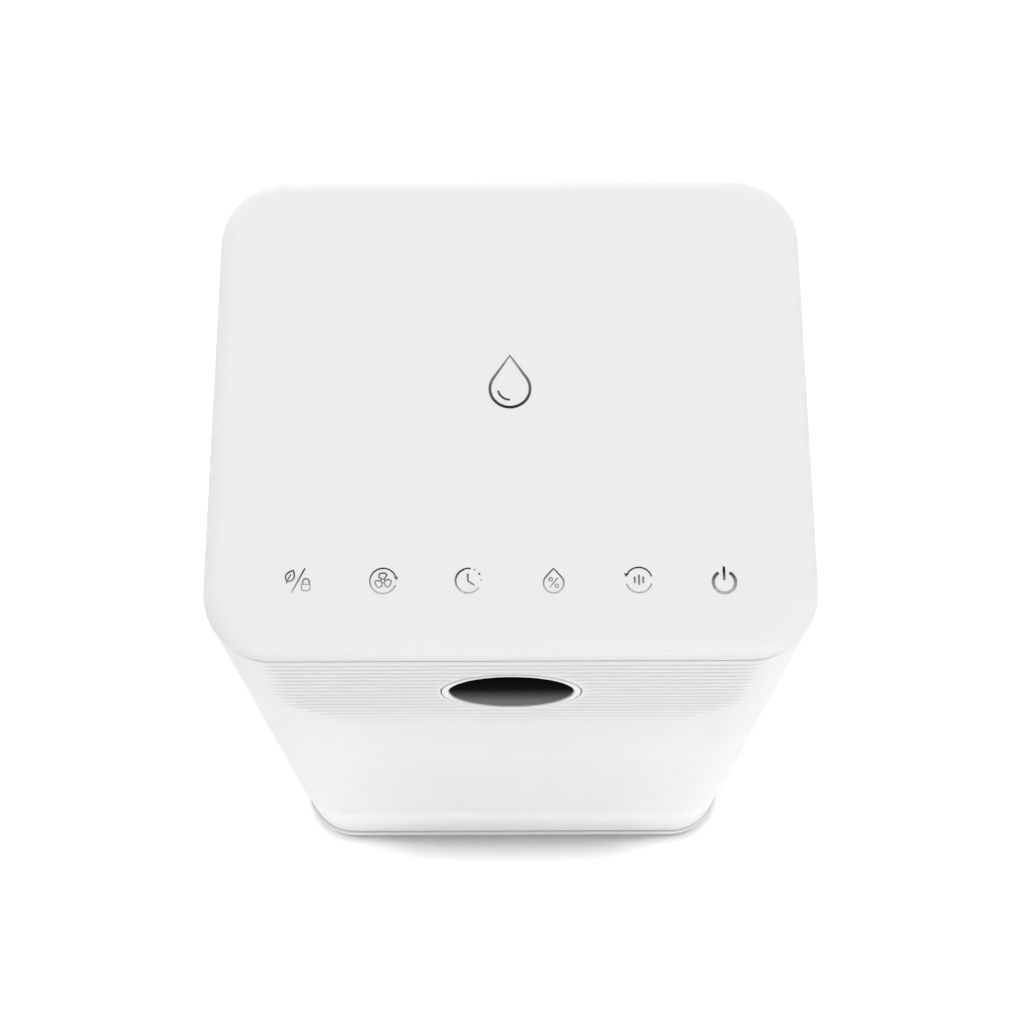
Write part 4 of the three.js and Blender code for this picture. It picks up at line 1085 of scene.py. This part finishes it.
def tank():
    low, rim = VESSEL_LOW.z, VESSEL_HIGH.z
    wall = rises(low, (7, 0), (3.5, 0.2), (1.5, 1.1), (0.3, 2.8), (0, 5))
    wall += sinks(rim, (0, 0.4), (0.4, 0), (1.8, 0), (2.2, 0.4))
    wall += rises(low, (2.2, 7), (2.7, 4.8), (4, 3.2), (6, 2.5), (9, 2.4))
    Build().loft(vessel_rings(wall)).piece("tank_vessel", VESSEL, "tank", "tank_plastic", ["tank_body"], 45)

    lid_low, lid_high = rim + 0.3, rim + 2.5
    plate = rises(lid_low, (6, 0), (0.7, 0), (0.4, 0.3))
    plate += sinks(lid_high, (0.4, 0.5), (0.55, 0.15), (0.9, 0), (8, 0), (8.6, 0.4), (12, 0.4))
    lid = Build().loft(vessel_rings(plate)).piece(
        "tank_cover", TANK_LID, "tank", "tank_plastic", ["tank_lid"])
    inlet, pour = (32, 22, 12, (62, 50)), (20, 11, 8, (60, -82))
    through = [(0, rim - 4), (0, rim + 8)]
    boolean(lid, [cutter(rect_rings(*inlet, through)), cutter(rect_rings(*pour, through))])
    more = Build()
    under = lid_low + 0.1
    skirt = [(2.5, rim - 2.6), (2.5, under), (4.2, under)] + sinks(rim, (4.2, 2.6), (3.9, 3), (2.8, 3))
    more.loft(vessel_rings(skirt), loop=True)
    for hole in (inlet, pour):
        collar = [(0, rim - 1.6)] + sinks(lid_high, (0, 0.3), (-0.3, 0), (-1.5, 0), (-1.8, 0.3))
        collar += sinks(rim, (-1.8, 1.3), (-1.5, 1.6))
        more.loft(rect_rings(*hole, collar, "z", 10), loop=True)
    angles = [2 * math.pi * i / 24 for i in range(24)]
    bore = arc_points(PIVOT_Y, PIVOT_Z, 2.3, 0, 360, 24)[:-1]
    lug = [(PIVOT_Y + 4 * math.cos(a), PIVOT_Z + 4 * math.sin(a) if a > math.pi else under) for a in angles]
    for s in (-1, 1):
        near, far = FLOAT_X + s * 12 - 1.2, FLOAT_X + s * 12 + 1.2
        turns = ((near, bore), (far, bore), (far, lug), (near, lug))
        rings = [[(x, y, z) for y, z in path] for x, path in turns]
        more.loft(rings, loop=True)
    append(lid, more)
    finish_mesh(lid, TANK_LID, 32)


def tank_float():
    top = 42.0
    build = Build()
    ends = [(5, -16), (1.6, -15.5), (0.4, -14.6), (0, -13), (0, 13), (0.4, 14.6), (1.6, 15.5), (5, 16)]
    build.loft(rect_rings(16, 10, 5, (44, 32), rises(FLOAT_X, *ends), "x", 8))
    bob = build.piece("float_bob", GREY, "float", "grey_plastic", ["tank_float"])
    boolean(bob, [cylinder(5.3, top - 5, top + 4, (FLOAT_X, 51, 0), "z", 40)])
    more = Build()
    arm = [(5, 68.5), (4.6, 66), (5, 63), (34, 39), (43, 39.5), (12, 68.5)]
    more.loft([[(x, *inward(arm, p, d)) for p in range(len(arm))] for x, d in
               ((-64, 0.5), (-63.5, 0), (-56.5, 0), (-56, 0.5))])
    pin = [(0, -75), (1.6, -75), (2, -74.6), (2, -45.4), (1.6, -45), (0, -45)]
    more.loft(lathe(pin, (0, PIVOT_Y, PIVOT_Z), "x", 32))
    append(bob, more)
    finish_mesh(bob, GREY, 35)


def inward(section, k, d):
    """A section's point moved towards its middle by d."""
    mid = sum((Vector(p) for p in section), Vector((0, 0))) / len(section)
    point = Vector(section[k])
    return tuple(point + (mid - point).normalized() * d)


# ---- cooling set
def coil(name, y0, y1):
    """Thin fins on two rows of tubes, with end plates and return bends."""
    half, low, high, rows = 98.0, 266.0, 406.0, 5
    fins = Build()
    count, thick = 92, 0.2
    for i in range(count):
        x = -half + 0.8 + (2 * half - 1.6) * i / (count - 1)
        wave = [(y0 + 1 + (y1 - y0 - 2) * j / 6, 0.25 * (-1) ** j) for j in range(7)]
        front = [(x - thick + w, y) for y, w in wave]
        rear = [(x + thick + w, y) for y, w in wave[::-1]]
        fins.loft([[(a, b, z) for a, b in front + rear] for z in (low + 1, high - 1)])
    for s in (-1, 1):
        a, b = sorted((s * half, s * (half + 1.5)))
        fins.block(a, b, y0, y1, low, high)
    fins.piece(name + "_fins", FIN, "casing", "aluminium_fin", [name], 20)
    tubes = Build()
    pitch = (high - low) / rows
    ya, yb = y0 + 5.5, y1 - 5.5
    mid, bend = (ya + yb) / 2, (yb - ya) / 2
    for k in range(rows):
        z = low + pitch * (k + 0.5)
        right = [(half + 1.5 + bend * math.sin(math.pi * t / 12), mid - bend * math.cos(math.pi * t / 12), z)
                 for t in range(13)]
        left = [(-x, y, z) for x, y, z in right[::-1]]
        tubes.loft(sweep([(0, ya, z)] + right + [(0, yb, z)] + left + [(0, ya, z)], 2.9, 12))
    tubes.piece(name + "_tubes", COPPER, "casing", "copper_pipe", smooth=50)


def compressor():
    x, y = -48.0, 42.0
    can = [(0, 98.5), (35, 98.5), (40, 100), (43, 103), (44.6, 107), (45.6, 111), (46, 116), (46, 201.6)]
    can += [(46.8, 202), (47.2, 203), (47.2, 205), (46.8, 206), (46, 206.4), (46, 213), (45.5, 218)]
    can += [(44, 223), (41, 228), (36.5, 231.6), (30, 234), (20, 235.4), (8, 236), (0, 236)]
    build = Build().loft(lathe(can, (x, y, 0), "z", 72))
    for angle in (30, 150, 270):
        turn = math.radians(angle)
        tip = arc_points(58, 0, 9, -70, 70, 12)
        cos, sin = math.cos(turn), math.sin(turn)
        ear = [(x + u * cos - v * sin, y + u * sin + v * cos) for u, v in [(36, -12)] + tip + [(36, 12)]]
        build.loft([[(a, b, z) for a, b in ear] for z in (98, 100.2)])
    build.piece("compressor_can", CAN_BLACK, "casing", "black_enamel", ["compressor"])
    cap = [(0, 236.6), (17, 236.6), (17.2, 237), (17, 243), (16.2, 245.4), (14, 246.8), (6, 247)]
    cap += [(5, 246.4), (0, 246.4)]
    Build().loft(lathe(cap, (x, y, 0), "z", 48)).piece(
        "terminal_cover", BLACK, "casing", "black_enamel", ["compressor_terminal_cap"])
    flask = [(0, 118), (6, 118.2), (11, 120), (14.4, 123.6), (16, 129), (16, 150), (16.3, 151), (16.3, 153)]
    flask += [(16, 154), (16, 202), (15, 207), (12, 211), (8, 213.4), (5, 214), (0, 214)]
    Build().loft(lathe(flask, (20, 40, 0), "z", 48)).piece(
        "accumulator_flask", CAN_BLACK, "casing", "black_enamel", ["suction_accumulator"])


def fan_wheel():
    """Forward-curved blades between a solid back plate and a front ring."""
    low, high = box_mm("fan_impeller")
    z_mid = (low.z + high.z) / 2
    radius = (high.z - low.z) / 2
    front, back = low.y, high.y
    build = Build()
    hub = rises(front, (4.3, 20), (9, 20), (9.5, 19.5), (10, 3), (radius - 8, 2.2), (radius - 0.3, 2.2))
    hub += rises(front, (radius, 1.9), (radius, 0.3), (radius - 0.3, 0), (12, 0), (4.3, 0.6))
    build.loft(lathe(hub, (0, 0, z_mid), "y", 72), loop=True)
    rim = sinks(back, (radius, 3), (radius, 0.3), (radius - 0.3, 0), (radius - 9, 0), (radius - 9, 1))
    rim += sinks(back, (radius - 1.6, 1.2), (radius - 1.6, 3))
    build.loft(lathe(rim, (0, 0, z_mid), "y", 72), loop=True)
    blades = 34
    for k in range(blades):
        turn = 2 * math.pi * k / blades
        curve = [(radius - 12 + 10.2 * i / 5, turn + 0.13 * (i / 5) ** 1.8) for i in range(6)]
        outer = [(r * math.cos(a), z_mid + r * math.sin(a)) for r, a in curve]
        thick = [(r + 0.1, a + 0.016) for r, a in curve[::-1]]
        inner = [(r * math.cos(a), z_mid + r * math.sin(a)) for r, a in thick]
        build.loft([[(u, y, v) for u, v in outer + inner] for y in (front + 2, back - 0.5)])
    build.piece("fan_wheel", BLACK, "fan", "black_plastic", ["fan_impeller"], 30)


rear_cover()
carry_grip(-1)
carry_grip(1)
inlet_grille()
outlet_grille()
drain_and_gland()
filter_frame()
filter_net()
base_tray()
feet()
tank()
tank_float()
coil("evaporator", 62.0, 86.0)
coil("condenser", 32.0, 56.0)
compressor()
fan_wheel()

# ---- finishes of the carried-over parts
FINISHES = {
    "rear_screw_1 rear_screw_2 rear_screw_3 rear_screw_4 float_magnet compressor_bolt_1 compressor_bolt_2 "
    "compressor_bolt_3 switch_lever fan_motor fan_shaft run_capacitor": STEEL,
    "compressor_grommet_1 compressor_grommet_2 compressor_grommet_3 drain_hose": RUBBER,
    "display_board touch_board control_board": BOARD,
    "suction_pipe discharge_pipe capillary_tube filter_drier": COPPER,
    "chassis_deck fan_scroll fan_inlet_plate drip_tray control_box": GREY,
    "humidity_sensor": WHITE,
    "tank_switch": CAN_BLACK,
}
for names, finish in FINISHES.items():
    for name in names.split():
        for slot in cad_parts[name].material_slots:
            slot.material = finish
